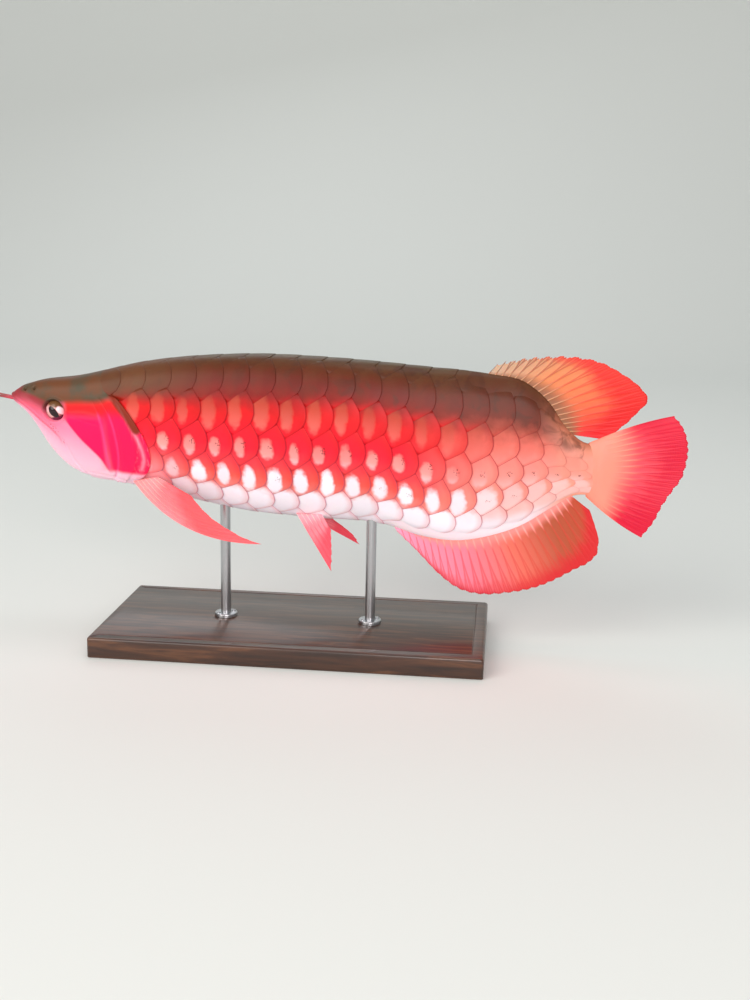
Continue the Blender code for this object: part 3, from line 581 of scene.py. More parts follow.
def layScale(draw, name, row, column, grid, size, lean):
    u, v, height, out = grid
    vary = scalePlan["vary"]
    shiftU, shiftV, tint = draw.normal(0, vary["along"]), draw.normal(0, vary["around"]), draw.random()
    x = latticeX(column + u * size + shiftU)
    share = rowShare(row + v * size + shiftV * (0 < row < 6), x)
    stretch, least = scalePlan["flatten"]
    relief = np.clip((fish["bodyLength"] - x) / stretch, least, 1) * scalePlan["rowRise"][row]
    first, last, less = scalePlan["nape"]
    relief = relief * (1 - less * ease(-x, -last, -first) * (row < 2))
    lift = fish["skinDepth"] * 0.5 + (height + lean * v + vary["lift"] * draw.normal()) * relief
    near = folded(share, 1)
    atDorsal = ease(-near, -0.14, -0.06) * ease(x, 350, 366)
    atAnal = ease(near, 0.9, 0.965) * ease(x, 290, 304)
    lift = lift - scalePlan["finSink"] * np.maximum(atDorsal, atAnal)
    spot, normal = bodyAt(x, share), outwardAt(x, share)
    depths = (lift, lift - scalePlan["thickness"] * relief)
    points = np.concatenate([spot + normal * depth[..., None] for depth in depths])
    around = near.mean()
    if name == "scales_left":
        points, around = points * (1, -1, 1), 2 - around
    patchU, patchV, long, high, strength = scalePlan["patch"][row]
    middle = latticeX(column)
    first, last, fade, spread = scalePlan["patchTail"]
    tailward = ease(middle, first, last)
    first, last, less = scalePlan["patchFront"]
    strength *= (1 - fade * tailward) * (1 - less * ease(-middle, -last, -first) * (row > 3))
    long = long * (1 + spread * tailward) * (1 + draw.normal(0, vary["patchLong"]))
    high = high * (1 + spread * tailward) * (1 + draw.normal(0, vary["patchHigh"]))
    patchU, patchV = patchU + draw.normal(0, vary["patchU"]), patchV + draw.normal(0, vary["patchV"])
    marks = {
        "around": near, "along": x / fish["bodyLength"], "tint": np.full(u.shape, tint),
        "patchAway": ((u - patchU) / long) ** 2 + ((v - patchV) / high) ** 2,  # 1 on the patch's edge
        "patchShow": np.full(u.shape, strength * (0.85 + 0.3 * draw.random())),
        "pore": np.full(u.shape, float(row == 3) + 0.6 * float(row == 4 and draw.random() < 0.4)),
        "plate": np.stack([u, v, out], -1),
        # each scale has a small field of its own in the bake map, right of the skin's
        "bake": np.stack([0.62 + 0.38 * (middle - 100) / 360 + 0.0015 * u, around / 2 + 0.0015 * v], -1),
    }
    return {"points": points, **{key: np.concatenate([values, values]) for key, values in marks.items()}}


def buildScales():
    draw = np.random.default_rng(scalePlan["seed"])
    grids = {kind: plateGrid(kind) for kind in ("flank", "ridge", "keel")}
    quads = sheetFaces(scalePlan["along"], scalePlan["across"])
    heaps = {"scales_left": [], "scales_right": [], "scales_midline": []}
    for row, column in scaleSites():
        kind = {0: "ridge", 6: "keel"}.get(row, "flank")
        size, lean = 1 + draw.normal(0, scalePlan["vary"]["size"]), draw.normal(0, scalePlan["vary"]["lean"])
        for name in ("scales_left", "scales_right") if kind == "flank" else ("scales_midline",):
            heaps[name].append(layScale(draw, name, row, column, grids[kind], size, lean))
    for name, heap in heaps.items():
        faces = np.concatenate([quads + (quads.max() + 1) * n for n in range(len(heap))])
        if name != "scales_left":
            faces = faces[:, ::-1]
        whole = {key: np.concatenate([scale[key] for scale in heap]) for key in heap[0]}
        plate, spots = whole.pop("plate"), whole.pop("bake").reshape(-1, 2)
        piece = meshPiece(name, whole.pop("points"), faces.tolist(), whole)
        mark(piece.data, {"plate": plate}, "FLOAT_VECTOR", "vector")
        bakeMap(piece, spots[faces.ravel()])
        print(name, len(heap), "scales", 2 * len(faces), "triangles")
        yield piece


# Fins: lines of ray roots and tips as (share, x, z) or, on paired fins, (share, x, y, z).
# What differs on the right one of a pair stands under "right": the pectoral fin is carried higher, so that
# the body hides it from the photo's side, and the pelvic fin is swept back.
fins = {
    "dorsal_fin": {
        "root": ((0, 371, 30), (0.3, 397, 24.5), (0.52, 414, 13), (0.75, 425.5, -2), (1, 436, -15.5)),
        "tip": ((0, 377, 36.5), (0.1, 388, 40.5), (0.24, 409, 44), (0.37, 432, 44), (0.48, 453, 40),
                (0.58, 469, 32), (0.67, 482, 23), (0.75, 489, 13), (0.83, 482, 3), (0.91, 473, -7),
                (1, 459, -18)),
        "rays": 19, "between": 16, "rows": 46, "rootHalf": 1.5, "rayHalf": 0.5,
        "notch": ((0, 2.5), (0.12, 5.0), (0.3, 5.5), (0.45, 2.4), (1, 1.8)), "freeTips": 0.6,
        "sink": 3.5, "wave": 1.0,
    },
    "anal_fin": {
        "root": ((0, 302.5, -93.5), (0.16, 325, -100.5), (0.32, 348, -103), (0.5, 375, -98.5),
                 (0.7, 402, -87.5), (0.85, 422, -73.5), (0.94, 431, -66), (1, 437, -62.8)),
        "tip": ((0, 304.5, -96.5), (0.1, 321, -113), (0.2, 337, -129), (0.3, 354, -140.5),
                (0.4, 373, -144.5), (0.5, 393, -142), (0.6, 411, -137), (0.7, 427, -130),
                (0.8, 443, -120.5), (0.88, 454, -113), (0.94, 459, -103), (0.98, 457, -88), (1, 451, -73)),
        "rays": 27, "between": 14, "rows": 46, "rootHalf": 2.0, "rayHalf": 0.45,
        "notch": ((0, 1.0), (0.3, 1.6), (1, 1.5)),
        "sink": 3.5, "wave": 1.0,
    },
    "caudal_fin": {
        "root": ((0, 447, -21.2), (0.5, 447, -42), (1, 447, -62.3)),
        "tip": ((0, 509, 1.5), (0.1, 515, -5), (0.25, 520.3, -18), (0.4, 521, -32), (0.52, 518, -46),
                (0.62, 511.5, -56), (0.72, 505, -67), (0.85, 499.5, -80), (1, 491, -93)),
        "rays": 17, "between": 16, "rows": 60, "rootHalf": 4.0, "rayHalf": 0.5, "fan": -9, "fleshy": True,
        "notch": ((0, 1.0), (0.5, 1.8), (1, 1.4)),
        "sink": 0, "wave": 1.2,
    },
    "pectoral_fin": {
        "root": ((0, 102, 14.5, -63), (0.5, 112.5, 17.8, -60.5), (1, 123, 20.5, -58)),
        "tip": ((0, 208, 54, -97), (0.2, 194, 50, -94), (0.4, 179, 45.5, -88), (0.6, 167, 41, -82),
                (0.8, 157, 36, -75), (1, 149, 31, -68)),
        "rays": 7, "between": 22, "rows": 60, "rootHalf": 1.8, "rayHalf": 0.7, "notch": ((0, 1.0), (1, 1.0)),
        "sink": 3.0, "wave": 0.0, "bow": (-6, 4, -12),
        "right": {"bow": (-6, 4, -7)},
    },
    "pelvic_fin": {
        "root": ((0, 227, 6.5, -86), (0.5, 237, 6.5, -86.5), (1, 247, 6, -86)),
        "tip": ((0, 256, 24, -124), (0.35, 256, 21, -112), (0.7, 255, 17, -103), (1, 254, 12, -95)),
        "right": {"tip": ((0, 272, 23, -114.5), (0.35, 268, 20.5, -107), (0.7, 261, 17, -100),
                          (1, 254, 12, -94))},
        "rays": 6, "between": 18, "rows": 44, "rootHalf": 1.6, "rayHalf": 0.5, "notch": ((0, 1.2), (1, 1.6)),
        "sink": 2.5, "wave": 0.0,
    },
}


blade = {
    "webHalf": 0.2,  # half the web's thickness
    "rayTipHalf": 0.24,
    "edgeThin": 0.05,
    "rayWidth": (0.13, 0.085),  # at the root and the tip, in steps from ray to ray
    "toothWidth": 0.1,
    "splits": ((0.25, 0.28), (0.12, 0.55)),  # how far rays part, and from where on
    "crowdLines": 0.92,
    "ripple": (0.75, 2.2),  # of the wave, from ray to ray and out along them
    "fleshyRays": (464.0, 482.0, 14.0),  # where the caudal rays come out of the flesh, and its curve
}


def rayRidges(f, t, rays, width):
    # how much each point of the fin belongs to a ray; f counts rays across and t runs out
    nearest = np.clip(np.round(f), 0, rays - 1)
    off = f - nearest
    (apart, start), (further, later) = blade["splits"]
    split = apart * ease(t, start, 1.0) * (nearest > 1)
    again = further * ease(t, later, 1.0) * (nearest > 2)
    ridge = np.zeros(f.shape)
    for first in (-1, 1):
        for second in (-1, 1):
            ridge = np.maximum(ridge, hill(off - first * split - second * again, width))
    return ridge


def fleshyRoot(sheet):
    # the caudal fin's root carries the body's thickness on, which fades along the rays
    start = fish["tailEnd"] - 4
    thick = bodyAt(start, shareAt(start, sheet[0, :, 2]))[:, 1]
    x = sheet[..., 0]
    return (thick - 0.9 + 1.1 * ease(x, start - 5, start + 4)) * (1 - ease(x, start + 2, start + 34)) ** 1.3


def buildFin(name, form, mirror=1):
    if mirror > 0:
        form = {**form, **form.get("right", {})}
    rays, rows = form["rays"], form["rows"] + 1
    columns = (rays - 1) * form["between"] + 1
    across = np.linspace(0, 1, columns)
    root, tip = (curveThrough(form[line])(across) for line in ("root", "tip"))
    if root.shape[1] == 2:  # a fin of the middle plane
        root, tip = (np.insert(line, 1, 0, axis=1) for line in (root, tip))
    root = root - unit(tip - root) * form["sink"]
    chord = tip - root
    f = across * (rays - 1)
    off = np.abs(f - np.round(f)) * 2  # 0 on a ray, 1 midway between two
    free = off ** (1 - form.get("freeTips", 0) * ease(-across, -0.45, -0.25))  # the first rays stand free
    teeth = 1 - rayRidges(f, np.ones(columns), rays, blade["toothWidth"])
    notch = curveThrough(form["notch"])(across) / np.maximum(np.linalg.norm(chord, axis=1), 12)
    t = np.linspace(0, 1, rows)[:, None] ** blade["crowdLines"] * (1 - notch * (0.65 * free + 0.35 * teeth))
    bow = 4 * np.array(form.get("bow", (0, 0, 0))) * (1 - across)[:, None]
    fan = form.get("fan", 0) * (2 * across - 1)[:, None] * np.array((0, 0, 1))
    sheet = root + chord * t[..., None] + (bow + fan) * (t * (1 - t))[..., None]
    wide, narrow = blade["rayWidth"]
    ridge = rayRidges(np.broadcast_to(f, t.shape), t, rays, wide + (narrow - wide) * t)
    if form.get("fleshy"):
        first, last, curve = blade["fleshyRays"]
        ridge = ridge * ease(sheet[..., 0] + curve * (2 * across - 1) ** 2, first, last)
    half = blade["webHalf"] + ridge * (form["rayHalf"] + (blade["rayTipHalf"] - form["rayHalf"]) * t)
    half -= blade["edgeThin"] * ease(t, 0.9, 1)
    half += fleshyRoot(sheet) if form.get("fleshy") else (form["rootHalf"] - half) * (1 - t) ** 9
    normal = unit(np.cross(np.gradient(sheet, axis=0), np.gradient(sheet, axis=1)))
    ripple = form["wave"] * t**1.5 * np.sin(f * blade["ripple"][0] + t * blade["ripple"][1])
    points = np.concatenate([sheet + normal * (ripple + side * half)[..., None] for side in (1, -1)])
    faces = np.roll(sheetFaces(rows, columns)[:, ::-1], 1, axis=1)
    if mirror < 0:
        points, faces = points * (1, -1, 1), faces[:, ::-1]
    numbers = {"ray": ridge, "out": t, "across": np.broadcast_to(across, t.shape)}
    numbers = {title: np.concatenate([values, values]) for title, values in numbers.items()}
    return meshPiece(name, points, faces.tolist(), numbers)


def tube(name, path, radii, sides=14):
    along = unit(np.gradient(path, axis=0))
    across = unit(np.cross(along, (0, 0, 1)))
    up = np.cross(across, along)
    turn = np.arange(sides)[:, None] * 2 * math.pi / sides
    spokes = np.cos(turn) * across[:, None] + np.sin(turn) * up[:, None]
    rings = path[:, None] + radii[:, None, None] * spokes
    points = np.concatenate([rings.reshape(-1, 3), path[:1], path[-1:] + along[-1] * radii[-1]])
    grid = np.arange(len(path) * sides).reshape(len(path), sides)
    beside = np.roll(grid, -1, 1)
    faces = np.stack([grid[:-1], grid[1:], beside[1:], beside[:-1]], -1).reshape(-1, 4).tolist()
    for end, ring, flip in ((grid.size, grid[0], -1), (grid.size + 1, grid[-1], 1)):
        faces += [[end, ring[(j + 1) % sides], ring[j]][::flip] for j in range(sides)]
    out = np.append(np.repeat(np.linspace(0, 1, len(path)), sides), (0, 1))
    return meshPiece(name, points, faces, {"out": out})


flanks = (("left", -1), ("right", 1))
barbel = {
    "path": ((1.0, 1.8, -2.2), (-9, 3.4, -0.6), (-19, 5.0, 1.4), (-30, 6.4, 2.0)),
    "radii": (1.25, 0.3),
    "wave": 0.35,
}


def buildBarbels():
    t = np.linspace(0, 1, 40)
    thick, thin = barbel["radii"]
    for side, mirror in flanks:
        knots = [(i, x, mirror * y, z) for i, (x, y, z) in enumerate(barbel["path"])]
        path = curveThrough(knots)(t * (len(knots) - 1))
        path[:, 2] += barbel["wave"] * np.sin(t * 9) * t
        yield side, tube(f"chin_barbel_{side}", path, thick + (thin - thick) * t**0.8)


def select(*pieces):  # these alone, with the first as the active one
    bpy.ops.object.select_all(action="DESELECT")
    for piece in pieces:
        piece.select_set(True)
    if pieces:
        bpy.context.view_layer.objects.active = pieces[0]


def settle(piece):  # the place goes into the mesh and the object to the origin
    select(piece)
    bpy.ops.object.transform_apply(location=True, rotation=True, scale=True)


def joined(first, second):
    select(first, second)
    bpy.ops.object.join()


def shapeBy(piece, kind, rule, action, **settings):
    # one edit-mode operator on the faces or edges that the rule takes
    select(piece)
    bpy.ops.object.mode_set(mode="EDIT")
    bpy.ops.mesh.select_mode(type=kind)
    bpy.ops.mesh.select_all(action="DESELECT")
    shape = bmesh.from_edit_mesh(piece.data)
    for part in shape.faces if kind == "FACE" else shape.edges:
        part.select_set(rule(part))
    bmesh.update_edit_mesh(piece.data)
    action(**settings)
    bpy.ops.object.mode_set(mode="OBJECT")


def facesUp(face):
    return face.normal.z > 0.9


def smoothed(piece, degrees):
    piece.data.shade_smooth()
    piece.data.set_sharp_from_angle(angle=math.radians(degrees))


def addCylinder(name, radius, low, high, x, y, sides):
    select()
    middle = (x, y, (low + high) / 2)
    bpy.ops.mesh.primitive_cylinder_add(vertices=sides, radius=radius, depth=high - low, location=middle)
    piece = bpy.context.active_object
    piece.name = name
    settle(piece)
    return piece


def buildEyes():
    c, s = math.cos(eyeForm["tilt"]), math.sin(eyeForm["tilt"])
    for side, mirror in flanks:
        select()
        bpy.ops.mesh.primitive_uv_sphere_add(segments=64, ring_count=48, radius=1, location=(0, 0, 0))
        eye = bpy.context.active_object
        eye.name = eye.data.name = f"eyeball_{side}"
        ball = np.empty(len(eye.data.vertices) * 3)
        eye.data.vertices.foreach_get("co", ball)
        ball = ball.reshape(-1, 3)
        # the sphere's pole looks out of the head, and the front bulges a little at the pupil
        away = np.hypot(ball[:, 0], ball[:, 1])
        front = ball[:, 2] > 0
        bulge = 1 + eyeForm["bulge"] * hill(away, 0.45) * front
        back, outward, up = ball[:, (0, 2, 1)].T * np.array(eyeForm["radii"])[:, None]
        outward = outward * bulge
        turned = np.stack([back * c - outward * s, (back * s + outward * c) * mirror, up], 1)
        middle = place(np.array(eyeForm["centre"]) * (1, mirror, 1))
        eye.data.vertices.foreach_set("co", (turned * 0.001 + middle).ravel())
        mark(eye.data, {"iris": np.where(front, away, 2 - away), "lookX": ball[:, 0], "lookZ": ball[:, 1]})
        closeAndTurn(eye)
        eye.data.shade_smooth()
        yield side, eye


standForm = {  # metres and radians
    "rods": {"stand_rod_front": 168.0, "stand_rod_rear": 284.0},  # fish x of each, in millimetres
    "radius": 0.004,
    "tenon": 0.006,
    "clearance": 0.0002,
    "flangeRadius": 0.009,
    "flangeHeight": 0.0028,
    "flangeBevel": 0.0008,
    "screwTurns": (0.6, 3.74),
    "screwCircle": 0.0064,
    "screwRadius": 0.0016,
    "screwHeight": 0.0006,
    "screwSeat": 0.0001,  # how far a screw's head reaches into the flange
    "socketRim": 0.00072,
    "socketWall": 0.000096,
    "socketDepth": 0.0005,
    "baseBevel": 0.0028,
    "footBevel": 0.0006,
    "grooveInset": 0.008,
    "grooveWidth": 0.0018,
    "grooveDepth": 0.0007,
}


def buildBase():
    low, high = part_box("stand_base")
    select()
    bpy.ops.mesh.primitive_cube_add(size=1, location=(low + high) / 2, scale=high - low)
    base = bpy.context.active_object
    base.name = "display_base"
    settle(base)

    def withinGroove(face):  # the middle of the top with its left border, at which the groove runs out
        return facesUp(face) and max(v.co.x for v in face.verts) < high.x - standForm["grooveInset"] / 2

    def upperOrUpright(edge):
        rising = abs(edge.verts[0].co.z - edge.verts[1].co.z) > 0.01
        spots = [v.co for v in edge.verts]
        onOutline = all(min(p.x - low.x, high.x - p.x, p.y - low.y, high.y - p.y) < 1e-5 for p in spots)
        return rising or (onOutline and all(p.z > high.z - 1e-5 for p in spots))

    def foot(edge):
        return all(v.co.z < low.z + 1e-5 for v in edge.verts)

    width, depth = standForm["grooveWidth"] / 2, standForm["grooveDepth"]
    shapeBy(base, "FACE", facesUp, bpy.ops.mesh.inset, thickness=standForm["grooveInset"], depth=0)
    for sink in (-depth, depth):  # down one wall of the groove and up the other
        shapeBy(base, "FACE", withinGroove, bpy.ops.mesh.inset, thickness=width, depth=sink)
    bevel = bpy.ops.mesh.bevel
    shapeBy(base, "EDGE", upperOrUpright, bevel, offset=standForm["baseBevel"], segments=5, profile=0.6)
    shapeBy(base, "EDGE", foot, bevel, offset=standForm["footBevel"], segments=2, profile=0.5)
    smoothed(base, 40)
    return base


def buildRod(node, x):
    baseTop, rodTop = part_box("stand_base")[1].z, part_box(node)[1].z
    middle = place((x, 0, 0))[0]
    name = node.replace("stand_", "steel_")
    rod = addCylinder(name, standForm["radius"], baseTop - standForm["tenon"], rodTop, middle, 0, 48)
    foot = baseTop + standForm["clearance"]
    top = foot + standForm["flangeHeight"]
    flange = addCylinder("flange", standForm["flangeRadius"], foot, top, middle, 0, 64)
    shapeBy(flange, "EDGE", lambda edge: all(v.co.z > top - 1e-5 for v in edge.verts), bpy.ops.mesh.bevel,
            offset=standForm["flangeBevel"], segments=4)
    for turn in standForm["screwTurns"]:
        x, y = middle + standForm["screwCircle"] * math.cos(turn), standForm["screwCircle"] * math.sin(turn)
        screwTop = top + standForm["screwHeight"]
        screw = addCylinder("screw", standForm["screwRadius"], top - standForm["screwSeat"], screwTop, x, y, 32)
        shapeBy(screw, "FACE", facesUp, bpy.ops.mesh.inset, thickness=standForm["socketRim"], depth=0)
        shapeBy(screw, "FACE", lambda face: facesUp(face) and len(face.verts) > 4, bpy.ops.mesh.inset,
                thickness=standForm["socketWall"], depth=-standForm["socketDepth"])
        joined(flange, screw)
    joined(rod, flange)
    smoothed(rod, 35)
    return rod


fleshColours = {
    # down the flank from the back (0) to the keel (1), behind the head
    "flank": ((0, "#5c4c32"), (0.06, "#56391e"), (0.13, "#5c2a0e"), (0.21, "#6a1604"), (0.29, "#860f06"),
              (0.34, "#be0c0c"), (0.385, "#e20a12"), (0.45, "#ee0a22"), (0.56, "#f21a34"), (0.65, "#f63c48"),
              (0.73, "#f85a50"), (0.8, "#fb8a84"), (0.87, "#ffe2ec"), (1, "#fff0f8")),
    "tail": ((0, "#5a361e"), (0.14, "#5a220c"), (0.26, "#742410"), (0.33, "#a44434"), (0.41, "#e46c5e"),
             (0.5, "#f9847a"), (0.65, "#fc9488"), (0.82, "#fda69a"), (1, "#fed6d2")),
    "patch": ((0.1, "#60442a"), (0.24, "#843414"), (0.34, "#c24430"), (0.44, "#e6645a"), (0.52, "#ee807a"),
              (0.6, "#f69c98"), (0.67, "#fddee8"), (0.71, "#fff0fa"), (1, "#fff2fa")),
    "rim": ((0.1, "#443020"), (0.24, "#6a1808"), (0.4, "#b00c1c"), (0.58, "#c81e3c"), (0.72, "#cc5a74"),
            (0.84, "#dc9cb4"), (1, "#ecc4d4")),
    "tailRim": ((0, "#4c3424"), (0.3, "#8c3834"), (0.45, "#bc404a"), (1, "#dc747c")),
    "end": ((0, "#a05c42"), (0.12, "#d07e64"), (0.3, "#ee9280"), (0.7, "#f89a88"), (1, "#faa690")),
    "margin": "#e8121e",
    "nape": "#6a3e22",
    "shoulder": "#fb848c",
    "blotch": "#4a2414",  # soft dark spots of the back before the dorsal fin
    "pore": "#6a1c1c",
    "innerEdge": "#f0b4b0",  # multiplies the colour before a scale's free edge
}
# Where one field of paint gives way to the next, as shares along the fish and round it: from, to and,
# where they aren't 0 and 1, the values there
fleshBands = {
    "cloudSize": 9.0,  # millimetres
    "blotchSize": 12.86,
    "mottling": 0.13,  # how far the clouds shift the fields
    "belly": (0.8, 0.94, 0, 0.18),  # stays white some way along the anal fin
    "tail": (0.66, 0.84),
    "end": (0.88, 0.95),
    "nape": ((0.38, 0.22), (0.36, 0.22)),  # along the fish and round it
    "shoulder": ((0.34, 0.25), (0.6, 0.8)),
    "blotch": (0.5, 0.64),
    "blotchAround": (0.36, 0.22),
    "blotchAlong": (0.3, 0.7, 0.15, 0.6),
}


def flesh(add, around, along):
    bands = fleshBands
    here = add("object")

    def field(name):
        return add("times", add("smooth", along, *bands[name][0]), add("smooth", around, *bands[name][1]))

    clouds = add("noise", here, 1000 / bands["cloudSize"], 3.0)
    drift = add("times", add("minus", clouds, 0.5), bands["mottling"])
    mottled = add("plus", around, drift)
    flank = add("ramp", add("plus", around, add("times", drift, 0.5)), fleshColours["flank"])
    hind = add("minus", along, add("smooth", around, *bands["belly"]))
    toTail = add("smooth", hind, *bands["tail"])
    colour = add("mix", toTail, flank, add("ramp", mottled, fleshColours["tail"]))
    # the nape keeps the crown's brown, and the tail's end the peach of its fin
    colour = add("mix", field("nape"), colour, fleshColours["nape"])
    toEnd = add("smooth", along, *bands["end"])
    colour = add("mix", toEnd, colour, add("ramp", mottled, fleshColours["end"]))
    # the belly is salmon, not white, under the pectoral fins
    colour = add("mix", field("shoulder"), colour, fleshColours["shoulder"])
    blotches = add("smooth", add("noise", here, 1000 / bands["blotchSize"], 3.5, 0.6), *bands["blotch"])
    blotches = add("times", blotches, add("smooth", mottled, *bands["blotchAround"]))
    blotches = add("times", blotches, add("range", along, *bands["blotchAlong"]))
    return add("mix", blotches, colour, fleshColours["blotch"]), toTail


fishVarnish = {"Roughness": 0.5, "Specular_IOR_Level": 0.2, "Coat_Weight": 0.15, "Coat_Roughness": 0.3,
               "Coat_IOR": 1.5, "Subsurface_Scale": 0.004}
# Bands of each scale's run out from its front (0) to its free edge (1), of the shares along the fish and
# round it, or of a pattern's own values: from, to and the values there
scaleMarks = {
    "patch": (1.55, 0.4),  # from well outside the pale oval to well inside
    "patchRagged": 1.5,
    "line": (0.96, 0.985),
    "lineAlong": (0.87, 0.95, 0.8, 0.15),
    "lineAround": (0.2, 0.36, 0.3, 1.0),
    "lineAhead": (0.5, 0.3, 0, 0.1),  # toward the head the faint lines reach further down
    "margin": (0.52, 0.96),
    "marginAround": ((0.24, 0.35), (0.58, 0.44)),
    "marginAlong": ((0.4, 0.6), (0.86, 0.72)),
    "marginShow": 0.7,
    "shade": (0.74, 0.97),
    "shadeShow": 0.55,
    "poreDots": (0.42, 0.3),
    "poreNear": (1.2, 0.5),
    "poreMiddle": 0.02,
    "poreHalf": (0.13, 0.12),
    "poreShow": 0.8,
    "tint": (0, 1, 0.92, 1.03),
}


def scaleMaterial():
    # Cast scales, airbrushed and sealed with satin varnish: clear edges under a soft sheen
    material, add = newMaterial("airbrushedScaleVarnish", Subsurface_Weight=0.12, **fishVarnish)
    marks = scaleMarks
    names = ("around", "along", "patchAway", "patchShow", "pore", "tint")
    around, along, patchAway, patchShow, pore, tint = (add("read", name) for name in names)
    u, v, out = add("split", add("readVector", "plate"))
    here = add("object")
    colour, toTail = flesh(add, around, along)
    # the pale oval at the front of what shows of each scale, soft and a little ragged
    ragged = add("times", add("minus", add("noise", here, 210.0, 5.0), 0.5), marks["patchRagged"])
    patch = add("times", add("smooth", add("plus", patchAway, ragged), *marks["patch"]), patchShow)
    colour = add("mix", patch, colour, add("ramp", around, fleshColours["patch"]))
    # a thin dark line on the free edge, faint on the back and on the tail's end
    rim, tailRim = (add("ramp", around, fleshColours[name]) for name in ("rim", "tailRim"))
    lower = add("range", add("minus", around, add("range", along, *marks["lineAhead"])), *marks["lineAround"])
    fade = add("times", add("range", along, *marks["lineAlong"]), lower)
    line = add("times", add("smooth", out, *marks["line"]), fade)
    colour = add("mix", line, colour, add("mix", toTail, rim, tailRim))
    # crimson margins round the duller middles of the upper rows, from the middle of the body back
    rows = add("times", *(add("smooth", around, *band) for band in marks["marginAround"]))
    reach = add("times", *(add("smooth", along, *band) for band in marks["marginAlong"]))
    crimson = add("times", add("smooth", out, *marks["margin"]), add("times", rows, reach))
    colour = add("mix", add("times", crimson, marks["marginShow"]), colour, fleshColours["margin"])
    # a deeper shade of the same red just inside the edge
    shaded = add("times", add("smooth", out, *marks["shade"]), fade)
    deeper = add("darken", 1.0, colour, fleshColours["innerEdge"])
    colour = add("mix", add("times", shaded, marks["shadeShow"]), colour, deeper)
    # small dark pores on the lateral line, up to 1.4 mm apart
    dots = add("range", add("cells", here, 700.0), *marks["poreDots"])
    across = add("over", add("minus", u, marks["poreMiddle"]), marks["poreHalf"][0])
    down = add("over", v, marks["poreHalf"][1])
    away = add("timesPlus", across, across, add("times", down, down))
    near = add("range", away, *marks["poreNear"])
    pores = add("times", add("times", dots, near), pore)
    colour = add("mix", add("times", pores, marks["poreShow"]), colour, fleshColours["pore"])
    tone = add("range", tint, *marks["tint"])
    colour = add("darken", 1.0, colour, add("grey", tone, tone, tone))
    # growth rings about 0.5 mm apart, which follow the hind edge
    rings = add("times", add("sine", add("times", out, 190.0)), 0.35)
    relief = add("bump", 0.28, 0.00012, add("plus", rings, add("noise", here, 900.0, 3.0)))
    return feed(material, Base_Color=colour, Normal=relief)


headColours = {
    "jaw": "#fb86a6", "throat": "#fdd0e2", "crownTop": "#4e4432", "crownSide": "#6a3e22", "bar": "#84260e",
    "streak": "#ff9cac", "pores": "#5a1824",
    # fields in the order of painting, each with how well it covers
    "underCrown": (("upperLip", "#f85474", 0.75), ("snout", "#8e2c30", 0.95), ("temple", "#f01420", 1.0),
                   ("opercle", "#f20052", 1.0), ("cheek", "#f40058", 1.0), ("membrane", "#f01250", 0.8),
                   ("stripe", "#ff4c98", 0.45), ("gillStripe", "#ff8ca4", 0.75)),
    # the eye's field is painted shade on the socket's upper rim
    "overCrown": (("lipLine", "#a82846", 0.5), ("eyeShade", "#3c3020", 0.7)),
}


def skinMaterial():
    # Cast resin skin, airbrushed in soft fields and satin varnished: smooth and slightly see-through
    material, add = newMaterial("airbrushedSkinVarnish", Subsurface_Weight=0.15, **fishVarnish)
    around, along = (add("read", name) for name in ("around", "along"))
    here = add("object")

    def painted(colour, fields):
        for name, paint, cover in fields:
            colour = add("mix", add("times", add("read", name), cover), colour, paint)
        return colour

    trunk, _ = flesh(add, around, along)
    jaw = add("mix", add("range", around, 0.55, 0.95), headColours["jaw"], headColours["throat"])
    colour = painted(add("mix", add("read", "head"), trunk, jaw), headColours["underCrown"])
    # pale streaks of the gill cover's soft edge, about 2 mm apart
    streaks = add("noise", add("stretch", here, (420, 420, 90)), 1.0, 2.0)
    streaks = add("times", add("range", streaks, 0.5, 0.68, 0, 0.3), add("read", "membrane"))
    colour = add("mix", streaks, colour, headColours["streak"])
    clouds = add("smooth", add("noise", here, 55.0, 5.0), 0.36, 0.62)
    crown = add("mix", clouds, headColours["crownTop"], headColours["crownSide"])
    colour = add("mix", add("read", "crown"), colour, crown)
    colour = add("mix", add("read", "bar"), colour, headColours["bar"])
    # the lip line, then the painted shade round the eye's upper rim
    colour = painted(colour, headColours["overCrown"])
    dots = add("range", add("cells", here, 620.0), 0.36, 0.24)
    colour = add("mix", add("times", dots, add("read", "pores")), colour, headColours["pores"])
    return feed(material, Base_Color=colour, Normal=add("bump", 0.2, 0.00015, add("noise", here, 700.0, 4.0)))


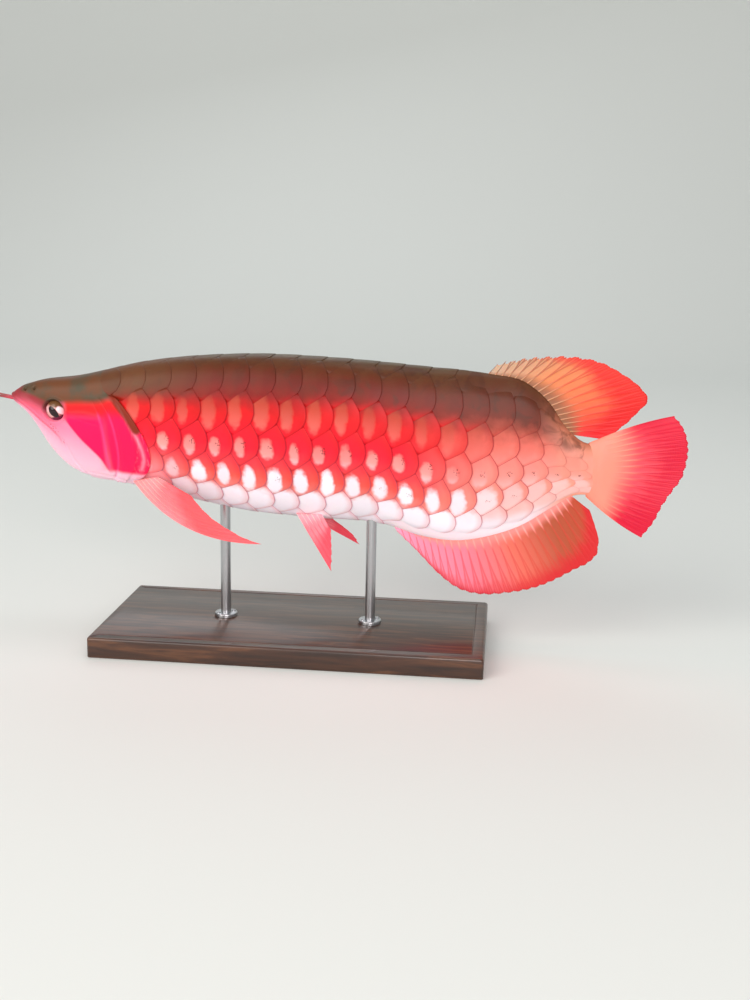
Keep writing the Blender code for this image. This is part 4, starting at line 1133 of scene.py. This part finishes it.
# Webs and rays from a fin's first ray (0) to its last (1), where its edge begins to redden, its root's
# colours and where they end
finColours = {
    "dorsal_fin": {
        "web": ((0, "#bea188"), (0.22, "#ca9a7a"), (0.4, "#dc8858"), (0.65, "#ea7046"), (0.88, "#e43e30"),
                (1, "#e02430")),
        "ray": ((0, "#5c3428"), (0.3, "#a05840"), (0.55, "#dc5238"), (1, "#d02030")),
        "edge": "#dc141c", "edgeFrom": ((0, 1.0), (0.3, 0.86), (0.6, 0.6), (1, 0.45)),
        "rootWeb": "#925c3e", "rootRay": "#c88e6c", "rootEnd": (0.34, 0.06),
    },
    "anal_fin": {
        "web": ((0, "#ff9cba"), (0.35, "#fd8298"), (0.58, "#e87060"), (0.8, "#ac5234"), (1, "#b4482c")),
        "ray": ((0, "#f66878"), (0.4, "#e44c58"), (0.7, "#cc4c36"), (1, "#c03e2a")),
        "edge": "#d01626", "edgeFrom": ((0, 0.86), (0.5, 0.84), (0.8, 0.74), (1, 0.55)),
        "rootWeb": "#f8948e", "rootRay": "#fba49c", "rootEnd": (0.22, 0.04),
    },
    "caudal_fin": {
        "web": ((0, "#e62e46"), (0.5, "#f2505e"), (1, "#e42440")),
        "ray": ((0, "#c8163a"), (0.5, "#d02640"), (1, "#c01236")),
        "edge": "#d20434", "edgeFrom": ((0, 0.5), (0.3, 0.66), (0.6, 0.66), (1, 0.45)),
        "rootWeb": "#f4937f", "rootRay": "#f69a86", "rootEnd": (0.56, 0.24),
    },
    "pectoral_fin": {
        "web": ((0, "#ff8890"), (0.5, "#fb7880"), (1, "#f86c74")),
        "ray": ((0, "#ffaaa8"), (1, "#f0606a")),
        "edge": "#f65058", "edgeFrom": ((0, 0.5), (1, 0.5)),
        "rootWeb": "#fb9094", "rootRay": "#ffb0ae", "rootEnd": (0.3, 0.06),
    },
    "pelvic_fin": {
        "web": ((0, "#f87886"), (1, "#fb8c98")),
        "ray": ((0, "#f0606e"), (1, "#f06a78")),
        "edge": "#f04458", "edgeFrom": ((0, 0.5), (1, 0.6)),
        "rootWeb": "#ff9ca8", "rootRay": "#ffc0c4", "rootEnd": (0.3, 0.06),
    },
}


def finMaterial(name):
    # Thin cast resin tinted through: light comes through the webs between denser rays
    tones = finColours[name]
    material, add = newMaterial(
        "tintedCastResin_" + name, Roughness=0.5, Specular_IOR_Level=0.25, Coat_Weight=0.12,
        Coat_Roughness=0.3, Subsurface_Weight=0.3, Subsurface_Scale=0.003)
    across, out, ray = (add("read", title) for title in ("across", "out", "ray"))
    web, rays, edgeFrom = (add("ramp", across, tones[title]) for title in ("web", "ray", "edgeFrom"))
    here = add("object")
    lines = add("smooth", ray, 0.3, 0.85)
    colour = add("mix", add("times", lines, 0.7), web, rays)
    # the outer edge reddens, from further in where edgeFrom says so
    drift = add("times", add("minus", add("noise", here, 90.0, 5.0), 0.5), 0.25)
    toEdge = add("smooth", add("minus", add("plus", out, drift), edgeFrom), -0.12, 0.2)
    colour = add("mix", add("times", toEdge, 0.85), colour, tones["edge"])
    atRoot = add("smooth", add("plus", out, add("times", ray, -0.08)), *tones["rootEnd"])
    colour = add("mix", atRoot, colour, add("mix", lines, tones["rootWeb"], tones["rootRay"]))
    # joints of the soft rays, about 1.2 mm apart
    joints = add("times", add("times", add("sine", add("times", out, 260.0)), ray), 0.5)
    relief = add("bump", 0.3, 0.00015, add("plus", joints, add("noise", here, 1100.0, 2.0)))
    return feed(material, Base_Color=colour, Normal=relief)


eyeColours = {
    # from the middle of the iris to its rim
    "iris": ((0, "#d89c9c"), (0.55, "#d8a4a0"), (0.8, "#a8605c"), (0.93, "#5c2028"), (1, "#241014")),
    # oval fields laid one on the other: middle, half-sizes, turn, softness, colour
    "fields": (
        ((0.15, 0.78), (0.95, 0.42), -0.2, 0.5, "#6e4a2c"),  # brown olive above, painted shade over the top of the eye
        ((0.35, -0.86), (0.7, 0.34), 0.3, 0.4, "#641838"),  # wine red below
        ((0.76, 0.04), (0.44, 0.24), -1.0, 0.45, "#ffd6de"),  # the bright hind part: pale iris with a painted highlight on it
        ((-0.5, 0.12), (0.3, 0.14), -1.1, 0.4, "#f4b4ba"),
        ((0.13, -0.1), (0.63, 0.34), -0.9, 0.16, "#1c0208"),  # the pupil, drawn out back and down
    ),
}


def eyeMaterial():
    # Blown glass eye, painted behind and polished: a clear highlight over the iris
    material, add = newMaterial("paintedGlassEye", Roughness=0.2, Specular_IOR_Level=0.1, Coat_Weight=0.7,
                                Coat_Roughness=0.02, Coat_IOR=1.52)
    iris, lookX, lookZ = (add("read", name) for name in ("iris", "lookX", "lookZ"))
    colour = add("ramp", iris, eyeColours["iris"])
    ragged = add("times", add("minus", add("noise", add("object"), 700.0, 4.0), 0.5), 0.5)
    for (x, z), (half, wide), tilt, soft, paint in eyeColours["fields"]:
        c, s = math.cos(tilt), math.sin(tilt)
        dx, dz = add("minus", lookX, x), add("minus", lookZ, z)
        long = add("timesPlus", dx, c / half, add("times", dz, s / half))
        short = add("timesPlus", dx, -s / wide, add("times", dz, c / wide))
        away = add("timesPlus", ragged, soft, add("timesPlus", long, long, add("times", short, short)))
        colour = add("mix", add("smooth", away, 1 + soft, 1 - soft), colour, paint)
    return feed(material, Base_Color=colour)


def barbelMaterial():
    # Soft cast rubber, tinted: brown red at the root and paler to the tip
    material, add = newMaterial("tintedCastRubber", Roughness=0.4, Coat_Weight=0.3, Coat_Roughness=0.2,
                                Subsurface_Weight=0.2, Subsurface_Scale=0.002)
    colour = add("ramp", add("read", "out"), ((0, "#d23a54"), (0.35, "#8c3434"), (1, "#a86458")))
    relief = add("bump", 0.25, 0.0001, add("noise", add("object"), 1500.0, 3.0))
    return feed(material, Base_Color=colour, Normal=relief)


def woodMaterial():
    # Black walnut, planed and satin varnished: long dark grain with short pores
    material, add = newMaterial("satinVarnishedWalnut", Roughness=0.38, Coat_Weight=0.4, Coat_Roughness=0.18)
    here = add("object")
    grain = add("noise", add("stretch", here, (6, 60, 60)), 3.0, 8.0, 0.6)  # about 6 mm across the grain
    colour = add("ramp", grain, ((0.3, "#2a170d"), (0.5, "#432616"), (0.62, "#5c3820"), (0.75, "#3a2012")))
    pores = add("range", add("noise", add("stretch", here, (60, 1400, 1400)), 1.0, 2.0), 0.62, 0.72)
    colour = add("mix", add("times", pores, 0.6), colour, "#160b06")
    return feed(material, Base_Color=colour, Normal=add("bump", 0.12, 0.0001, add("minus", grain, pores)))


def steelMaterial():
    # Stainless bar, brushed along its length: fine upright lines that stretch the highlight
    material, add = newMaterial("brushedStainlessSteel", Metallic=1.0, Roughness=0.28, Base_Color="#b9babd")
    brushed = add("noise", add("stretch", add("object"), (4000, 4000, 40)), 1.0, 3.0)
    relief = add("bump", 0.15, 0.00005, brushed)
    return feed(material, Normal=relief, Roughness=add("range", brushed, 0, 1, 0.22, 0.36))


skin = buildSkin()
skinNodes = ("head", "lower_jaw", "gill_cover_left", "gill_cover_right", "torso", "tail")
dress(skin, skinMaterial(), "body_skin", *skinNodes)
print("skin built", len(skin.data.polygons), "faces")

scaleFinish = scaleMaterial()
for piece in buildScales():
    dress(piece, scaleFinish, "body_skin")
print("scales laid")

for name, form in fins.items():
    finish = finMaterial(name)
    piece = name.replace("_fin", "_rays")
    if "right" in form:
        for side, mirror in flanks:
            dress(buildFin(f"{piece}_{side}", form, mirror), finish, "fin_membrane", f"{name}_{side}")
    else:
        dress(buildFin(piece, form), finish, "fin_membrane", name)
print("fins spread")

eyeFinish = eyeMaterial()
for side, eye in buildEyes():
    dress(eye, eyeFinish, "eye_glass", f"eye_{side}")
rubber = barbelMaterial()
for side, feeler in buildBarbels():
    dress(feeler, rubber, "head_skin", f"barbel_{side}")
print("eyes and barbels set")

dress(buildBase(), woodMaterial(), "base_wood", "stand_base")
steel = steelMaterial()
for node, x in standForm["rods"].items():
    dress(buildRod(node, x), steel, "rod_steel", node)
print("stand made")

studio = {
    "sweepWidth": 16.0, "sweepFront": -8.0, "sweepBack": 3.4, "sweepRound": 1.6, "sweepHeight": 5.0,
    "sweepColour": "#e6e9e5", "worldColour": "#f2f5f6", "worldStrength": 0.5,
    # name: (place, size, watts, colour, aim)
    "lights": {
        "key": ((-1.6, -2.1, 1.5), 2.4, 50, "#fff8f2", (0, 0, 0.17)),
        "front": ((0.6, -2.4, 0.85), 1.3, 31, "#fff6f4", (0, 0, 0.13)),
        "back": ((-0.6, 2.2, 2.0), 1.8, 10, "#f6f9ff", (0, 0, 0.17)),
        "top": ((0.2, 0.1, 1.6), 0.7, 3, "#f4f8ff", (0, 0, 0.2)),
    },
}
camera = {
    "place": (0.13833, -0.92826, 0.33134), "yaw": 6.0, "pitch": 13.0, "roll": 1.1,  # degrees
    "focal": 1236.0, "imageHeight": 1000.0,  # pixels
}


def buildStudio():
    # a pale paper sweep: the floor, a round and the wall behind
    select()
    deep = studio["sweepBack"] - studio["sweepFront"]
    middle = studio["sweepFront"] + deep / 2
    bpy.ops.mesh.primitive_plane_add(size=1, location=(0, middle, -0.0002))
    floor = bpy.context.active_object
    floor.name = "studio_sweep"
    floor.scale = (studio["sweepWidth"], deep, 1)
    settle(floor)
    back = studio["sweepBack"] - 0.01
    shapeBy(floor, "EDGE", lambda edge: all(v.co.y > back for v in edge.verts),
            bpy.ops.mesh.extrude_region_move, TRANSFORM_OT_translate={"value": (0, 0, studio["sweepHeight"])})
    shapeBy(floor, "EDGE", lambda edge: all(v.co.y > back and v.co.z < 0.01 for v in edge.verts),
            bpy.ops.mesh.bevel, offset=studio["sweepRound"], segments=24)
    floor.data.shade_smooth()
    paper, _ = newMaterial("matPaper", Roughness=0.9, Base_Color=studio["sweepColour"])
    floor.data.materials.append(paper)
    world = bpy.data.worlds.new("studio")
    world.use_nodes = True
    glow = world.node_tree.nodes["Background"].inputs
    glow[0].default_value, glow[1].default_value = linear(studio["worldColour"]), studio["worldStrength"]
    bpy.context.scene.world = world
    bpy.context.scene.view_settings.view_transform = "Standard"  # paints show as their hex values
    for name, (spot, size, watts, colour, aim) in studio["lights"].items():
        light = bpy.data.lights.new(name + "_softbox", "AREA")
        light.shape, light.size, light.energy = "DISK", size, watts
        light.color = linear(colour)[:3]
        lamp = bpy.data.objects.new(name + "_softbox", light)
        lamp.location = spot
        lamp.rotation_euler = (Vector(aim) - Vector(spot)).to_track_quat("-Z", "Y").to_euler()
        bpy.context.scene.collection.objects.link(lamp)


def buildCamera():
    yaw, pitch, roll = (math.radians(camera[name]) for name in ("yaw", "pitch", "roll"))
    ahead = Vector((-math.sin(yaw) * math.cos(pitch), math.cos(yaw) * math.cos(pitch), -math.sin(pitch)))
    level = Vector((math.cos(yaw), math.sin(yaw), 0))
    up = level.cross(ahead)
    right = level * math.cos(roll) + up * math.sin(roll)
    above = up * math.cos(roll) - level * math.sin(roll)
    lens = bpy.data.cameras.new("photo_camera")
    lens.sensor_width, lens.sensor_fit = 36.0, "AUTO"
    lens.lens = camera["focal"] / camera["imageHeight"] * lens.sensor_width
    lens.clip_start = 0.01
    eye = bpy.data.objects.new("photo_camera", lens)
    turned = Matrix((right, above, -ahead)).transposed().to_4x4()
    eye.matrix_world = Matrix.Translation(camera["place"]) @ turned
    bpy.context.scene.collection.objects.link(eye)
    bpy.context.scene.camera = eye


buildStudio()
buildCamera()
print("studio lit")
